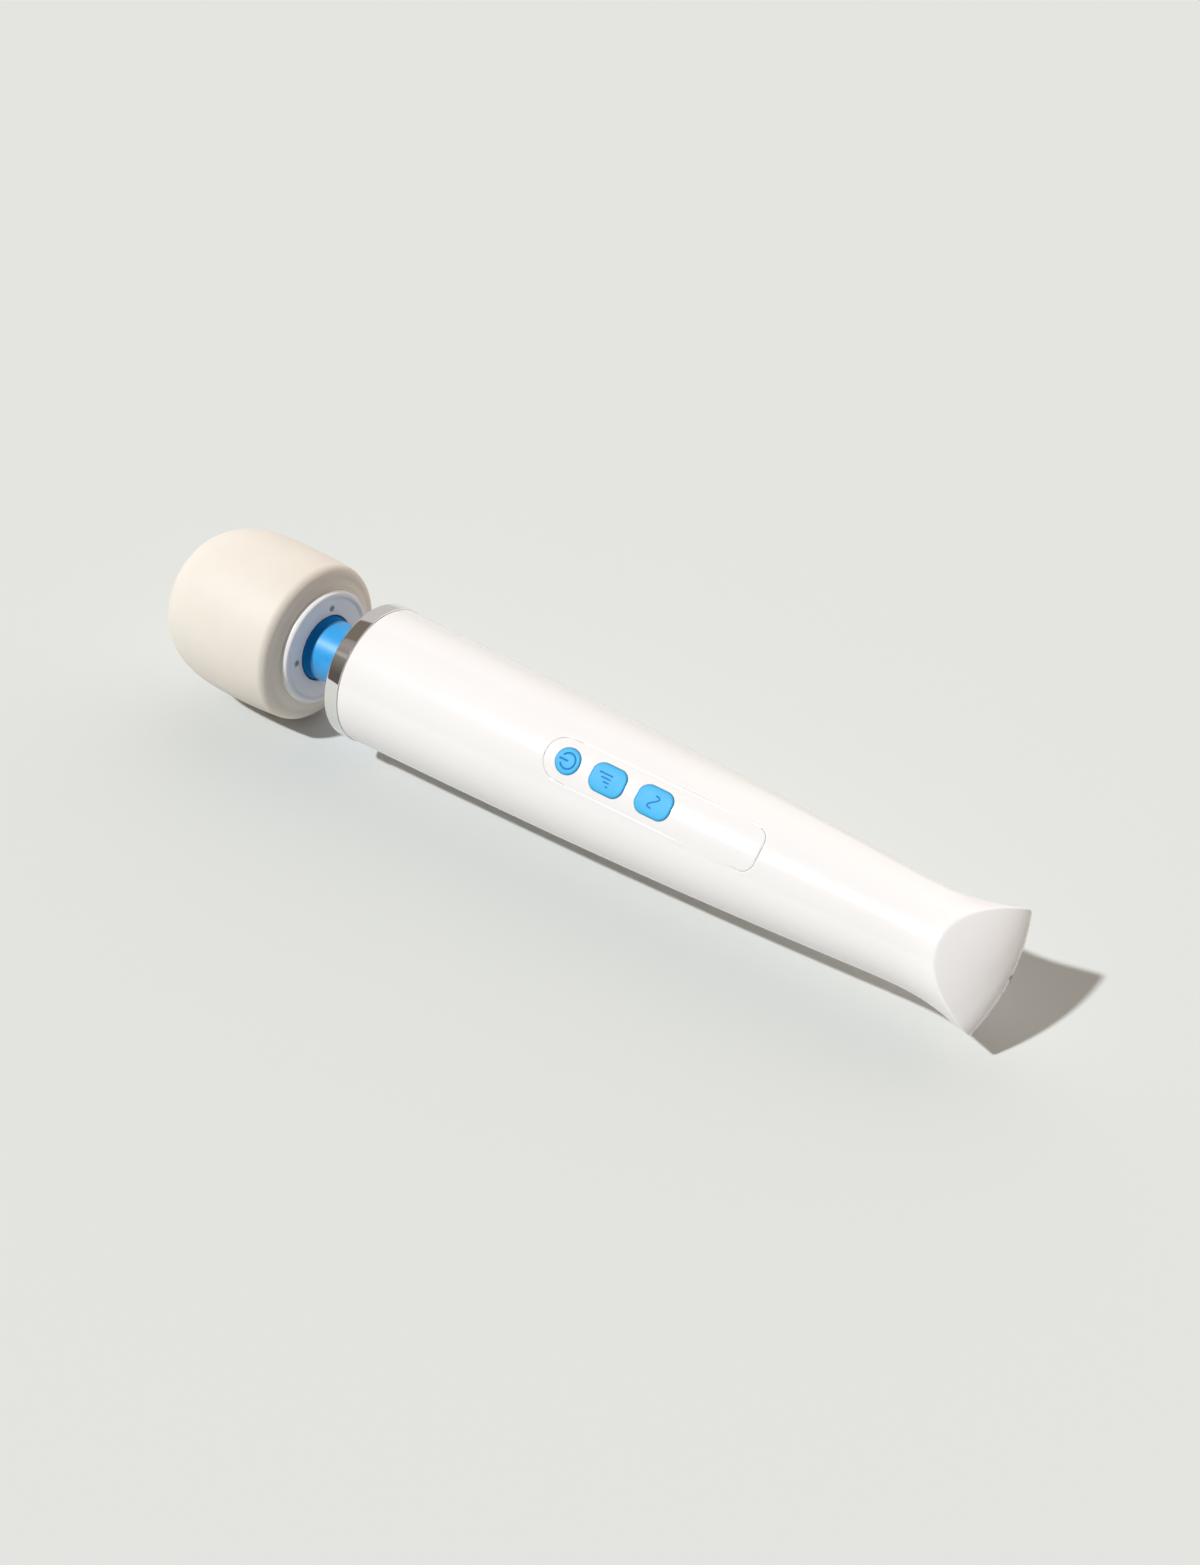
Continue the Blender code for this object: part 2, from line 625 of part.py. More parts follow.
# flexible drive shaft: a wound sleeve over the ends of the head shaft and the motor shaft
drive_profile = [(DRIVE_X0, DRIVE_BORE_R)]
for k in range(DRIVE_STEPS + 1):
    drive_profile.append((DRIVE_X0 + (DRIVE_X1 - DRIVE_X0) * k / DRIVE_STEPS,
                          DRIVE_GROOVE_R if k % 2 else DRIVE_CREST_R))
drive_profile.append((DRIVE_X1, DRIVE_BORE_R))
turned("flexible_drive_shaft", drive_profile, STEEL, 12, closed=True, parent=motor_axis)

# bush around the drive shaft, centred on the neck pivot
ring("shaft_guide_bush", NECK_PIVOT_X - 1.8, NECK_PIVOT_X + 1.8, 4.8, 7.2, 20, BRASS,
     parent=neck_pivot, origin=(NECK_PIVOT_X, 0, 0))

# ---------------------------------------------------------------- front of the handle
turned(
    "chrome_collar",
    [(0.0, 20.6), (0.0, 23.3), (0.25, 23.95), (0.7, 24.35), (1.3, COLLAR_R),
     (COLLAR_LENGTH, COLLAR_R), (COLLAR_LENGTH, 21.2), (12.0, 21.2), (12.0, 19.6),
     (4.6, 19.6), (4.6, 20.6)],
    CHROME, 28, closed=True)

# cap that closes the collar around the neck
turned(
    "handle_end_cap",
    [(0.9, NECK_R + GAP), (0.9, 19.8), (1.3, 20.2), (4.3, 20.2), (4.3, 19.2), (11.4, 19.2),
     (11.4, 17.2), (4.3, 17.2), (4.3, NECK_R + GAP)],
    WHITE, 24, closed=True)

ring("neck_clamp_ring", 4.8, 8.2, NECK_R + GAP, 16.6, 24, STEEL)

# ---------------------------------------------------------------- motor
turned(
    "motor_can",
    [(MOTOR_X0, MOTOR_SHAFT_HOLE_R), (MOTOR_X0, 15.6), (MOTOR_X0 + 0.9, MOTOR_R),
     (MOTOR_X1, MOTOR_R), (MOTOR_X1, MOTOR_CAN_BORE_R), (MOTOR_X0 + 1.6, MOTOR_CAN_BORE_R),
     (MOTOR_X0 + 1.6, MOTOR_SHAFT_HOLE_R)],
    STEEL, 24, closed=True)

ring("motor_magnet_ring", 23.0, 61.0, 12.2, MOTOR_CAN_BORE_R - GAP, 20, BLACK)

turned(
    "motor_end_cap",
    [(MOTOR_X1 + GAP, MOTOR_SHAFT_HOLE_R), (MOTOR_X1 + GAP, MOTOR_R), (74.6, MOTOR_R),
     (75.4, 15.6), (75.4, 5.0), (77.6, 5.0), (77.6, MOTOR_SHAFT_HOLE_R)],
    BLACK, 20, closed=True)

turned(
    "motor_armature",
    [(25.0, 2.8), (25.0, 7.6), (27.4, 9.6), (29.0, 11.7), (56.0, 11.7), (57.6, 9.6),
     (60.0, 7.6), (60.0, 5.8), (67.0, 5.8), (67.0, 2.8)],
    COPPER, 16, closed=True, parent=motor_axis)

rod("motor_shaft", -2.0, 77.2, 2.5, 16, STEEL, chamfer=0.3, parent=motor_axis)

# rubber rings between the motor and the tapering inside of the handle
for name, x0, x1 in (("motor_damper_front", 21.0, 28.0), ("motor_damper_rear", 60.0, 67.0)):
    outer0, outer1 = (handle_radius(x) - WALL - 0.45 for x in (x0, x1))
    turned(name, [(x0, MOTOR_R + GAP), (x0, outer0), (x1, outer1), (x1, MOTOR_R + GAP)],
           RUBBER, 24, closed=True)

# ---------------------------------------------------------------- handle shells
front = handle_half("handle_front_shell", 1)
back = handle_half("handle_rear_shell", -1)

# screw posts: all are joined on before any hole is cut
for n, (x, y, post_r, recess_r) in enumerate(SHELL_SCREWS, 1):
    post = circle(x, y, post_r, 8)
    post_end = surface_height(x, y, WALL) + 0.1
    join(front, prism(f"post_front_{n}", post, -1.0, post_end))
    join(back, prism(f"post_rear_{n}", post, -post_end, -1.4))

# holes, recesses and the screws, which go in from the back
for n, (x, y, post_r, recess_r) in enumerate(SHELL_SCREWS, 1):
    outside = surface_height(x, y)
    seat = SCREW_SEAT_DEPTH - outside
    hole = circle(x, y, 1.4, 6)
    cut(front, prism(f"cut_front_{n}", hole, -3.0, 5.5))
    cut(back, prism(f"cut_shank_{n}", hole, -outside - 5, 1.0))
    cut(back, prism(f"cut_recess_{n}", circle(x, y, recess_r, 8), -outside - 6, seat))
    screw = prism(f"shell_screw_{n}", circle(x, y, recess_r - GAP, 8), seat - 1.7, seat - GAP,
                  DARK_STEEL)
    join(screw, prism(f"add_shank_{n}", circle(x, y, 1.0, 6), seat - 0.8, 4.0))

# panel seat and the window under it
cut(front, panel_solid("cut_panel_seat", top=1.5, bottom=-PANEL_THICK - GAP, grow=GAP))
cut(front, block("cut_panel_window", (WINDOW_X0, -WINDOW_HALF, 12.0),
                 (WINDOW_X1, WINDOW_HALF, 30.0)))

# ---------------------------------------------------------------- controls
panel = panel_solid("control_panel", top=0.0, bottom=-PANEL_THICK, mat=WHITE)


def round_key(x):
    """Outlines of the key, its opening in the panel and its flange."""
    return [circle(x, 0, POWER_D / 2 + grow, 16) for grow in (0.0, GAP, 0.9)]


def oblong_key(x):
    """The same three outlines for a rounded rectangle."""
    grows = ((0.0, 0.0, 0.0), (2 * GAP, 2 * GAP, GAP), (1.3, 1.5, 0.6))  # length, width, corner
    return [rounded_rect(x, 0, RECT_L + length, RECT_W + width, RECT_CORNER + corner)
            for length, width, corner in grows]


# each key stands in the panel, over a switch on the board
for name, x, key_outlines in (
    ("power", POWER_X, round_key),
    ("level", LEVEL_X, oblong_key),
    ("pattern", PATTERN_X, oblong_key),
):
    outline, opening, flange = key_outlines(x)
    z = handle_radius(x)
    cut(panel, prism(f"cut_{name}_button", opening, z - 5, z + 5))
    key = prism(f"{name}_button", outline, z - BUTTON_BASE, z + BUTTON_PROUD, BLUE_KEY,
                BUTTON_CHAMFER, origin=(x, 0, z))
    join(key, prism(f"add_flange_{name}_button", flange, z - FLANGE_BASE, z - FLANGE_TOP))
    block(f"{name}_switch", (x - SWITCH_HALF, -SWITCH_HALF, BOARD_Z1 + GAP),
          (x + SWITCH_HALF, SWITCH_HALF, SWITCH_TOP), BLACK)

prism("keypad", rounded_rect(112.8, 0, 46.0, 12.0, 2.0), SWITCH_TOP + GAP, 16.6, KEYPAD)

# status lights under their guide
prism("light_guide", rounded_rect(LIGHT_X, 0, 13.0, 8.0, 2.0), 16.4, 18.2, DIFFUSER)
for n in (1, 2, 3):
    x = LIGHT_X + (n - 2) * LED_PITCH
    block(f"status_led_{n}", (x - 1.0, -0.8, BOARD_Z1 + GAP), (x + 1.0, 0.8, 15.3), LED)

# control board, screwed up to two posts of the front shell, with a chip on its underside
board = prism("control_board", rounded_rect(BOARD_X, 0, BOARD_LENGTH, BOARD_WIDTH, 1.5, 2),
              BOARD_Z0, BOARD_Z1, PCB)
for n, x in enumerate(BOARD_SCREW_X, 1):
    post_top = handle_radius(x) - WALL + 0.9
    join(front, prism(f"post_board_{n}", circle(x, 0, 2.3, 12), BOARD_Z1 + GAP, post_top))
    cut(front, prism(f"cut_board_{n}", circle(x, 0, 1.25, 8), 10.0, 17.6))
    cut(board, prism(f"cut_hole_{n}", circle(x, 0, 1.3, 8), 10.0, 20.0))
    screw = prism(f"board_screw_{n}", circle(x, 0, 1.9, 10), 10.8, BOARD_Z0 - GAP, DARK_STEEL)
    join(screw, prism(f"add_board_shank_{n}", circle(x, 0, 0.95, 8), 11.5, 17.0))
block("controller_chip", (114.6, -3.4, 10.9), (121.6, 3.4, BOARD_Z0 - GAP), BLACK)

# ---------------------------------------------------------------- power
for name, x0 in zip(("battery_cell_front", "battery_cell_rear"), CELL_X):
    x1 = x0 + CELL_LENGTH
    shoulder_x = x1 - 1.4  # the terminal stands out past this
    turned(name,
           [(x0, 0), (x0, 8.3), (x0 + 0.7, CELL_R), (x1 - 2.2, CELL_R), (shoulder_x, 8.4),
            (shoulder_x, 3.2), (x1, 3.0), (x1, 0)],
           CELL, 20, centre=(0.0, CELL_Z))


def battery_tray():
    """A half-round trough under both cells."""
    verts = []
    for x in TRAY_X:
        for radius in (CELL_R + GAP, CELL_R + 1.5):
            for k in range(TRAY_STEPS + 1):
                angle = math.pi + math.pi * k / TRAY_STEPS
                verts.append((x, radius * math.cos(angle), CELL_Z + radius * math.sin(angle)))
    # first index of each arc: inner and outer at the front, then at the rear
    in0, out0, in1, out1 = (i * (TRAY_STEPS + 1) for i in range(4))
    faces = []
    for k in range(TRAY_STEPS):
        j = k + 1
        faces += [[in0 + k, in0 + j, in1 + j, in1 + k], [out0 + k, out1 + k, out1 + j, out0 + j]]
        faces += [[in0 + k, out0 + k, out0 + j, in0 + j], [in1 + k, in1 + j, out1 + j, out1 + k]]
    for k in (0, TRAY_STEPS):
        faces.append([in0 + k, in1 + k, out1 + k, out0 + k])
    make("battery_tray", verts, faces, BLACK)


battery_tray()

block("protection_board", (163.0, -6.0, 8.4), (203.0, 6.0, 9.6), PCB)

# ---------------------------------------------------------------- charging port
# slot through both shells; its corners and the bezel's stop just short of half circles
slot_outline = rounded_rect(0, 0, 2 * (BEZEL_HALF_Y + GAP), 2 * (BEZEL_HALF_Z + GAP),
                            BEZEL_HALF_Z + 0.28, 4)
for n, shell in enumerate((front, back), 1):
    cut(shell, along_x(f"cut_port_{n}", slot_outline, 236.0, 250.0))

bezel_outline = rounded_rect(0, 0, 2 * BEZEL_HALF_Y, 2 * BEZEL_HALF_Z, BEZEL_HALF_Z - 0.01, 4)
bezel = along_x("port_bezel", bezel_outline, BEZEL_X0, BEZEL_FACE_X, WHITE)
cut(bezel, rod("cut_jack_mouth", 238.0, 250.0, JACK_R, 16))

socket = block("charge_socket", (229.0, -4.6, -3.4), (240.4, 4.6, 3.4), BLACK)
cut(socket, rod("cut_jack_bore", 232.0, 244.0, JACK_R, 16))
rod("jack_pin", 232.4, 242.6, 0.85, 10, BRASS, chamfer=0.2)

# ---------------------------------------------------------------- wires
# each runs along the Bezier curve of four (x, y, z) points
for name, side, mat in (("positive", 1, RED_WIRE), ("negative", -1, BLACK_WIRE)):
    controls = ((76.2, side * 8.6, 6.0), (80.0, side * 8.6, 6.0),
                (80.5, side * 6.0, 11.5), (86.5, side * 6.0, 11.5))
    tube_along(f"wire_motor_{name}", bend_points(controls), WIRE_R, mat)

BATTERY_WIRE = ((156.4, 6.0, 11.4), (161.0, 6.0, 11.4), (160.0, 5.0, 10.6), (166.0, 4.6, 10.6))
tube_along("wire_battery", bend_points(BATTERY_WIRE), WIRE_R, RED_WIRE)

CHARGE_WIRE = ((201.0, 0.0, 10.6), (212.0, 0.0, 10.6), (223.5, 0.0, 8.5), (228.4, 0.0, 1.5))
tube_along("wire_charge", bend_points(CHARGE_WIRE, steps=10), WIRE_R, BLACK_WIRE)
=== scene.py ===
"""Handheld wand massager: its visible surfaces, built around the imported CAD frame.

Wand coordinates are millimetres.  x runs along the wand's axis: the head is at x < 0, the
head-side face of the chrome collar at x = 0 and the tail near x = 245.  y = z = 0 is the axis,
and the control panel is on the +z side.  to_frame() takes them to the CAD frame, in metres.
"""

import json
import math

import bmesh
import bpy
import numpy as np
from mathutils import Matrix, Vector


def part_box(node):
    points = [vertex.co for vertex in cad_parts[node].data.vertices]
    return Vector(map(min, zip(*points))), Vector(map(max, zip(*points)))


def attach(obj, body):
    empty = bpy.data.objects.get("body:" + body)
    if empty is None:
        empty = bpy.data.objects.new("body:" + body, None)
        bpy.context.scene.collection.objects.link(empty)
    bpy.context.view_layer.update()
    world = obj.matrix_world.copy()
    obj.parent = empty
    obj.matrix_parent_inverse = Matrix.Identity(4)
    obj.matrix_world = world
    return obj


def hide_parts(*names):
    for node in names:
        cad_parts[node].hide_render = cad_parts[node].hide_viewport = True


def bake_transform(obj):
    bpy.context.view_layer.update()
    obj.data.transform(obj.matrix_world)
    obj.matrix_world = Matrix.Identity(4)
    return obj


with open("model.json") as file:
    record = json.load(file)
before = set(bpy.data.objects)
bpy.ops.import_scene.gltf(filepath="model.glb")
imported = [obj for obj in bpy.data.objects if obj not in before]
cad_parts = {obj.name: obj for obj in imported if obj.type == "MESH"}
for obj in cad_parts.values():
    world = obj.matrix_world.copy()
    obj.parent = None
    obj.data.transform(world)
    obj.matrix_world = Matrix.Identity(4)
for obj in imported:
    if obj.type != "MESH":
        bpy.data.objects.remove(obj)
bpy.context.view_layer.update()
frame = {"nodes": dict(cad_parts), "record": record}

collar_low, collar_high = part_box("chrome_collar")
ORIGIN = (
    collar_low.x,
    0.5 * (collar_low.y + collar_high.y),
    0.5 * (collar_low.z + collar_high.z),
)


def to_frame(x, y, z):
    return (ORIGIN[0] + x * 0.001, ORIGIN[1] + y * 0.001, ORIGIN[2] + z * 0.001)


# ------------------------------------------------------------------ driving sizes (mm)
HEAD_R, HEAD_WIDEST_X, HEAD_DOME, HEAD_POWER = 29.84, -45.0, 35.5, 3.2
HEAD_REAR_X, HEAD_REAR_R, HEAD_REAR_ROUND = -23.5, 28.9, 3.5
HEAD_WALL = 4.0
PLATE_R, PLATE_X = 21.0, -20.3
PLATE_FACE_X = PLATE_X - 0.5  # recessed face of the plate
PLATE_SCREW_CIRCLE = 14.8
PLATE_SCREW_ANGLES = (31.0, 131.0, 229.0, 293.0)  # degrees from +Y towards +Z
NECK_R, NECK_ROOT_R, NECK_BORE_R = 11.1, 12.1, 9.9
NECK_MID_X, NECK_ROOT_X = -10.0, PLATE_FACE_X - 0.1
COLLAR_R, COLLAR_LENGTH = 24.5, 6.07
HANDLE_X0 = COLLAR_LENGTH + 0.1
# the handle's outline: (x, radius)
STATIONS = (
    (4.0, 24.2), (55.0, 23.36), (100.0, 22.24), (145.0, 20.46), (185.0, 18.3), (205.0, 17.05),
    (217.0, 16.6), (224.0, 16.9), (230.0, 17.75), (236.0, 19.1), (242.0, 20.5), (248.0, 22.0),
)
WALL, END_WALL, CREASE = 2.4, 2.8, 0.7
RIDGE_X, RIDGE_BOW, RIDGE_CURVE, RIDGE_TIGHTEN = 245.2, 0.008, 0.0646, 7.2e-5
PANEL_X0, PANEL_X1, PANEL_HALF = 87.4, 165.8, 7.2
PANEL_HEAD_ROUND, PANEL_TAIL_ROUND = 7.0, 4.2
PANEL_TOP, PANEL_BOTTOM = -0.02, -1.2  # offsets from the handle's skin
POWER_X, LEVEL_X, PATTERN_X = 96.0, 111.2, 128.3
POWER_R, RECT_L, RECT_W, RECT_CORNER = 4.35, 12.4, 9.45, 3.6
PORT_L, PORT_W = 10.8, 3.4
# (x, y, recess radius)
SHELL_SCREWS = ((84.0, 13.4, 2.3), (84.0, -13.4, 2.3), (226.2, 9.6, 2.0), (226.2, -9.6, 2.0))
SHELL_SCREW_DEPTH = 4.4


# ------------------------------------------------------------------ shader nodes
def linear(rgb):
    """8-bit sRGB to linear RGBA."""
    out = []
    for channel in rgb:
        value = channel / 255.0
        out.append(value / 12.92 if value <= 0.04045 else ((value + 0.055) / 1.055) ** 2.4)
    return tuple(out) + (1.0,)


def connect(tree, node, inputs):
    """Links each named or numbered input to a socket, or sets its value."""
    for key, value in inputs.items():
        if isinstance(value, bpy.types.NodeSocket):
            tree.links.new(value, node.inputs[key])
        else:
            node.inputs[key].default_value = value


def add_node(tree, kind, inputs, **settings):
    node = tree.nodes.new("ShaderNode" + kind)
    for key, value in settings.items():
        setattr(node, key, value)
    connect(tree, node, inputs)
    return node


# ------------------------------------------------------------------ materials
WEAR_RADIUS = 0.0002  # metres
BUMP_DISTANCE = 0.0004  # metres
SSS_SCALE = 0.003  # metres


def finish(name, rgb, rough, metallic=0.0, coat=0.0, coat_rough=0.05, sss=0.0,
           sss_radius=(1.0, 0.6, 0.4), vary=0.03, vary_scale=60.0, rough_vary=0.05,
           rough_scale=300.0, bump=0.02, bump_scale=900.0, ior=1.46, coat_ior=1.5, sheen=0.0,
           wear_rgb=None, stretch=(1.0, 1.0, 1.0)):
    """A procedural finish: slow colour drift, finer roughness breakup and a micro-surface."""
    material = bpy.data.materials.new(name)
    material.use_nodes = True
    tree = material.node_tree
    inputs = {
        "Metallic": metallic, "IOR": ior, "Coat Weight": coat, "Coat Roughness": coat_rough,
        "Coat IOR": coat_ior, "Sheen Weight": sheen,
    }
    if sss:
        inputs["Subsurface Weight"] = sss
        inputs["Subsurface Radius"] = sss_radius
        inputs["Subsurface Scale"] = SSS_SCALE
    position = add_node(tree, "TexCoord", {}).outputs["Object"]
    mapping = add_node(tree, "Mapping", {"Vector": position, "Scale": stretch})

    def noise(scale, detail=3.0, roughness=0.55):
        return add_node(tree, "TexNoise", {
            "Vector": mapping.outputs["Vector"], "Scale": scale, "Detail": detail,
            "Roughness": roughness,
        }).outputs["Fac"]

    def bumped(strength, height):
        return add_node(tree, "Bump", {
            "Strength": strength, "Distance": BUMP_DISTANCE, "Height": height,
        }).outputs["Normal"]

    base = linear(rgb)[:3]
    ramp = add_node(tree, "ValToRGB", {"Fac": noise(vary_scale)})
    dark, light = ramp.color_ramp.elements
    dark.position, light.position = 0.35, 0.65
    dark.color = tuple(c * (1 - vary) for c in base) + (1.0,)
    light.color = tuple(c * (1 + 0.5 * vary) for c in base) + (1.0,)
    colour = ramp.outputs["Color"]
    if wear_rgb:
        # a different tone where the surface turns sharply
        bevel = add_node(tree, "Bevel", {"Radius": WEAR_RADIUS}, samples=4)
        geometry = add_node(tree, "NewGeometry", {})
        dot = add_node(tree, "VectorMath", {
            0: bevel.outputs["Normal"], 1: geometry.outputs["Normal"],
        }, operation="DOT_PRODUCT")
        edge = add_node(tree, "MapRange", {
            "Value": dot.outputs["Value"], "From Min": 0.8, "From Max": 1.0,
            "To Min": 0.6, "To Max": 0.0,
        })
        colour = add_node(tree, "Mix", {
            "Factor": edge.outputs["Result"], "A": colour, "B": linear(wear_rgb),
        }, data_type="RGBA").outputs["Result"]
    inputs["Base Color"] = colour
    inputs["Roughness"] = add_node(tree, "MapRange", {
        "Value": noise(rough_scale, 4.0), "To Min": rough - rough_vary,
        "To Max": rough + rough_vary,
    }).outputs["Result"]
    inputs["Normal"] = bumped(bump, noise(bump_scale, 5.0, 0.6))
    if coat:
        inputs["Coat Normal"] = bumped(bump * 0.4, noise(bump_scale * 0.25, 2.0))
    connect(tree, tree.nodes["Principled BSDF"], inputs)
    return material


SILICONE = finish("m_silicone", (225, 216, 206), rough=0.55, sss=0.3,
                  sss_radius=(1.0, 0.68, 0.42), vary=0.02, vary_scale=45, bump=0.05,
                  bump_scale=2600, rough_vary=0.04, ior=1.41, sheen=0.04)
PLATE = finish("m_plate", (234, 232, 234), rough=0.34, coat=0.15, coat_rough=0.2, vary=0.006,
               vary_scale=30, rough_vary=0.03, bump=0.01, bump_scale=1800)
SHELL = finish("m_shell", (236, 231, 230), rough=0.15, coat=0.45, coat_rough=0.035,
               vary=0.008, vary_scale=30, rough_vary=0.03, bump=0.012, bump_scale=500, ior=1.5)
NECK_BLUE = finish("m_neck", (4, 152, 222), rough=0.42, ior=1.4, coat=1.0, coat_rough=0.30,
                   coat_ior=1.8, vary=0.04, vary_scale=80, bump=0.03, bump_scale=1500,
                   sss=0.08, sss_radius=(0.3, 0.7, 1.0))
# painted shade: a darker blue for the neck's root, where the plate rim casts its shadow
NECK_ROOT_PAINTED_SHADE = finish("m_neck_root_painted_shade", (0, 116, 190), rough=0.8, ior=1.25, vary=0.04, vary_scale=80,
                   bump=0.03, bump_scale=1500)
KEY_BLUE = finish("m_key", (52, 170, 224), rough=0.55, coat_rough=0.3, vary=0.02,
                  vary_scale=120, bump=0.02, bump_scale=2000, sss=0.08,
                  sss_radius=(0.3, 0.7, 1.0))
# a darker blue for the faces of the engraved icon grooves
KEY_ICON_DARKER = finish("m_key_icon", (14, 130, 196), rough=0.6, vary=0.03, vary_scale=300, bump=0.05,
                 bump_scale=3000)
CHROME = finish("m_chrome", (238, 237, 235), rough=0.05, metallic=1.0, vary=0.02,
                vary_scale=40, rough_vary=0.02, rough_scale=160, bump=0.006, bump_scale=300)
STEEL = finish("m_steel", (168, 168, 170), rough=0.3, metallic=1.0, vary=0.08, vary_scale=400,
               rough_vary=0.1, rough_scale=900, bump=0.05, bump_scale=1800,
               stretch=(8.0, 1.0, 1.0))
PLATE_SCREW = finish("m_plate_screw", (176, 176, 182), rough=0.5, metallic=0.6, vary=0.1,
                     vary_scale=900, bump=0.05, bump_scale=2500)
SCREW = finish("m_screw", (96, 96, 99), rough=0.36, metallic=1.0, vary=0.12, vary_scale=900,
               bump=0.05, bump_scale=2500, wear_rgb=(170, 170, 172))
BRASS = finish("m_brass", (196, 156, 84), rough=0.28, metallic=1.0, vary=0.08, vary_scale=300,
               bump=0.04, bump_scale=1500, stretch=(6.0, 1.0, 1.0))
COPPER = finish("m_copper", (186, 100, 52), rough=0.34, metallic=1.0, vary=0.25,
                vary_scale=500, bump=0.4, bump_scale=1400, stretch=(0.2, 3.0, 3.0))
RUBBER = finish("m_rubber", (34, 34, 36), rough=0.72, vary=0.1, vary_scale=300, bump=0.12,
                bump_scale=2600)
BLACK = finish("m_black_plastic", (27, 27, 29), rough=0.42, vary=0.08, vary_scale=200,
               bump=0.08, bump_scale=2200, wear_rgb=(60, 60, 62))
BOARD = finish("m_board", (24, 92, 58), rough=0.35, coat=0.3, vary=0.25, vary_scale=500,
               bump=0.1, bump_scale=1200)
CELL = finish("m_cell", (62, 84, 150), rough=0.36, coat=0.2, vary=0.08, vary_scale=90,
              bump=0.06, bump_scale=300)
KEYPAD = finish("m_keypad", (198, 202, 206), rough=0.6, sss=0.3, vary=0.04, bump=0.06,
                bump_scale=2000)
DIFFUSER = finish("m_diffuser", (232, 236, 240), rough=0.4, sss=0.5, vary=0.02, bump=0.05,
                  bump_scale=1500)
LED = finish("m_led", (238, 240, 228), rough=0.15, coat=0.5, vary=0.03, bump=0.02)
WIRE_RED = finish("m_wire_red", (178, 32, 30), rough=0.42, vary=0.06, vary_scale=600,
                  bump=0.05, bump_scale=2200)
WIRE_BLACK = finish("m_wire_black", (28, 28, 30), rough=0.42, vary=0.08, vary_scale=600,
                    bump=0.05, bump_scale=2200)

BY_SLOT = {
    "silicone_cream": SILICONE, "plate_white": PLATE, "shell_white": SHELL,
    "neck_blue": NECK_BLUE, "key_blue": KEY_BLUE, "collar_chrome": CHROME, "steel": STEEL,
    "screw_steel": SCREW, "brass": BRASS, "copper_winding": COPPER, "black_rubber": RUBBER,
    "black_plastic": BLACK, "board_green": BOARD, "cell_wrap": CELL, "keypad_silicone": KEYPAD,
    "light_diffuser": DIFFUSER, "led_lens": LED, "wire_red": WIRE_RED,
    "wire_black": WIRE_BLACK,
}


def paint_cad_nodes():
    slot_of = {part["node"]: part["material_slot"] for part in frame["record"]["subparts"]}
    for name, obj in frame["nodes"].items():
        obj.data.materials.clear()
        obj.data.materials.append(BY_SLOT[slot_of[name]])


# ------------------------------------------------------------------ mesh helpers
def shade(mesh, angle):
    """Smooth shading, with edges sharper than the angle (degrees) kept hard."""
    mesh.shade_smooth()
    mesh.set_sharp_from_angle(angle=math.radians(angle))


def link_object(name, data):
    obj = bpy.data.objects.new(name, data)
    bpy.context.scene.collection.objects.link(obj)
    return obj


def add_mesh(name, verts, faces, materials, angle=30.0):
    """A cleaned mesh with outward normals; angle None leaves it flat shaded."""
    mesh = bpy.data.meshes.new(name)
    mesh.from_pydata([to_frame(*v) for v in verts], [], faces)
    bm = bmesh.new()
    bm.from_mesh(mesh)
    bmesh.ops.remove_doubles(bm, verts=bm.verts, dist=1e-8)
    bmesh.ops.dissolve_degenerate(bm, edges=bm.edges, dist=1e-9)
    bmesh.ops.recalc_face_normals(bm, faces=bm.faces)
    if bm.calc_volume(signed=True) < 0:
        bmesh.ops.reverse_faces(bm, faces=bm.faces)
    bm.to_mesh(mesh)
    bm.free()
    if angle is not None:
        shade(mesh, angle)
    for material in materials:
        mesh.materials.append(material)
    return link_object(name, mesh)


def soften(points, closed=False, steps=5):
    """A dense profile from (x, r, corner radius) points, each corner an arc-like curve."""
    out, count = [], len(points)
    for i, (x, r, radius) in enumerate(points):
        corner = np.array((x, r), float)
        if radius <= 0 or (not closed and i in (0, count - 1)):
            out.append((x, r))
            continue
        back = np.array(points[(i - 1) % count][:2], float) - corner
        ahead = np.array(points[(i + 1) % count][:2], float) - corner
        back_length, ahead_length = np.linalg.norm(back), np.linalg.norm(ahead)
        back, ahead = back / back_length, ahead / ahead_length
        half = 0.5 * math.acos(max(-1.0, min(1.0, float(back @ ahead))))
        setback = min(radius / math.tan(half), 0.48 * back_length, 0.48 * ahead_length)
        start, end = corner + back * setback, corner + ahead * setback
        weight = math.sin(half)
        for k in range(steps + 1):
            t = k / steps
            total = (1 - t) ** 2 + 2 * weight * t * (1 - t) + t * t
            point = ((1 - t) ** 2 * start + 2 * weight * t * (1 - t) * corner
                     + t * t * end) / total
            out.append((float(point[0]), float(point[1])))
    return out


def turned(name, profile, materials, segs, centre=(0.0, 0.0), closed=False, angle=30.0):
    """An (x, r) profile turned about the line parallel to x through centre (y, z)."""
    verts, rings = [], []
    for x, r in profile:
        if r < 1e-6:
            rings.append([len(verts)] * segs)
            verts.append((x, centre[0], centre[1]))
        else:
            rings.append(list(range(len(verts), len(verts) + segs)))
            for k in range(segs):
                a = 2 * math.pi * k / segs
                verts.append((x, centre[0] + r * math.cos(a), centre[1] + r * math.sin(a)))
    faces = []
    pairs = list(zip(rings, rings[1:]))
    if closed:
        pairs.append((rings[-1], rings[0]))
    for first, second in pairs:
        for k in range(segs):
            j = (k + 1) % segs
            # a ring shrunk to a point on the axis repeats its vertex
            face = list(dict.fromkeys((first[k], first[j], second[j], second[k])))
            if len(face) > 2:
                faces.append(face)
    return add_mesh(name, verts, faces, materials, angle=angle)


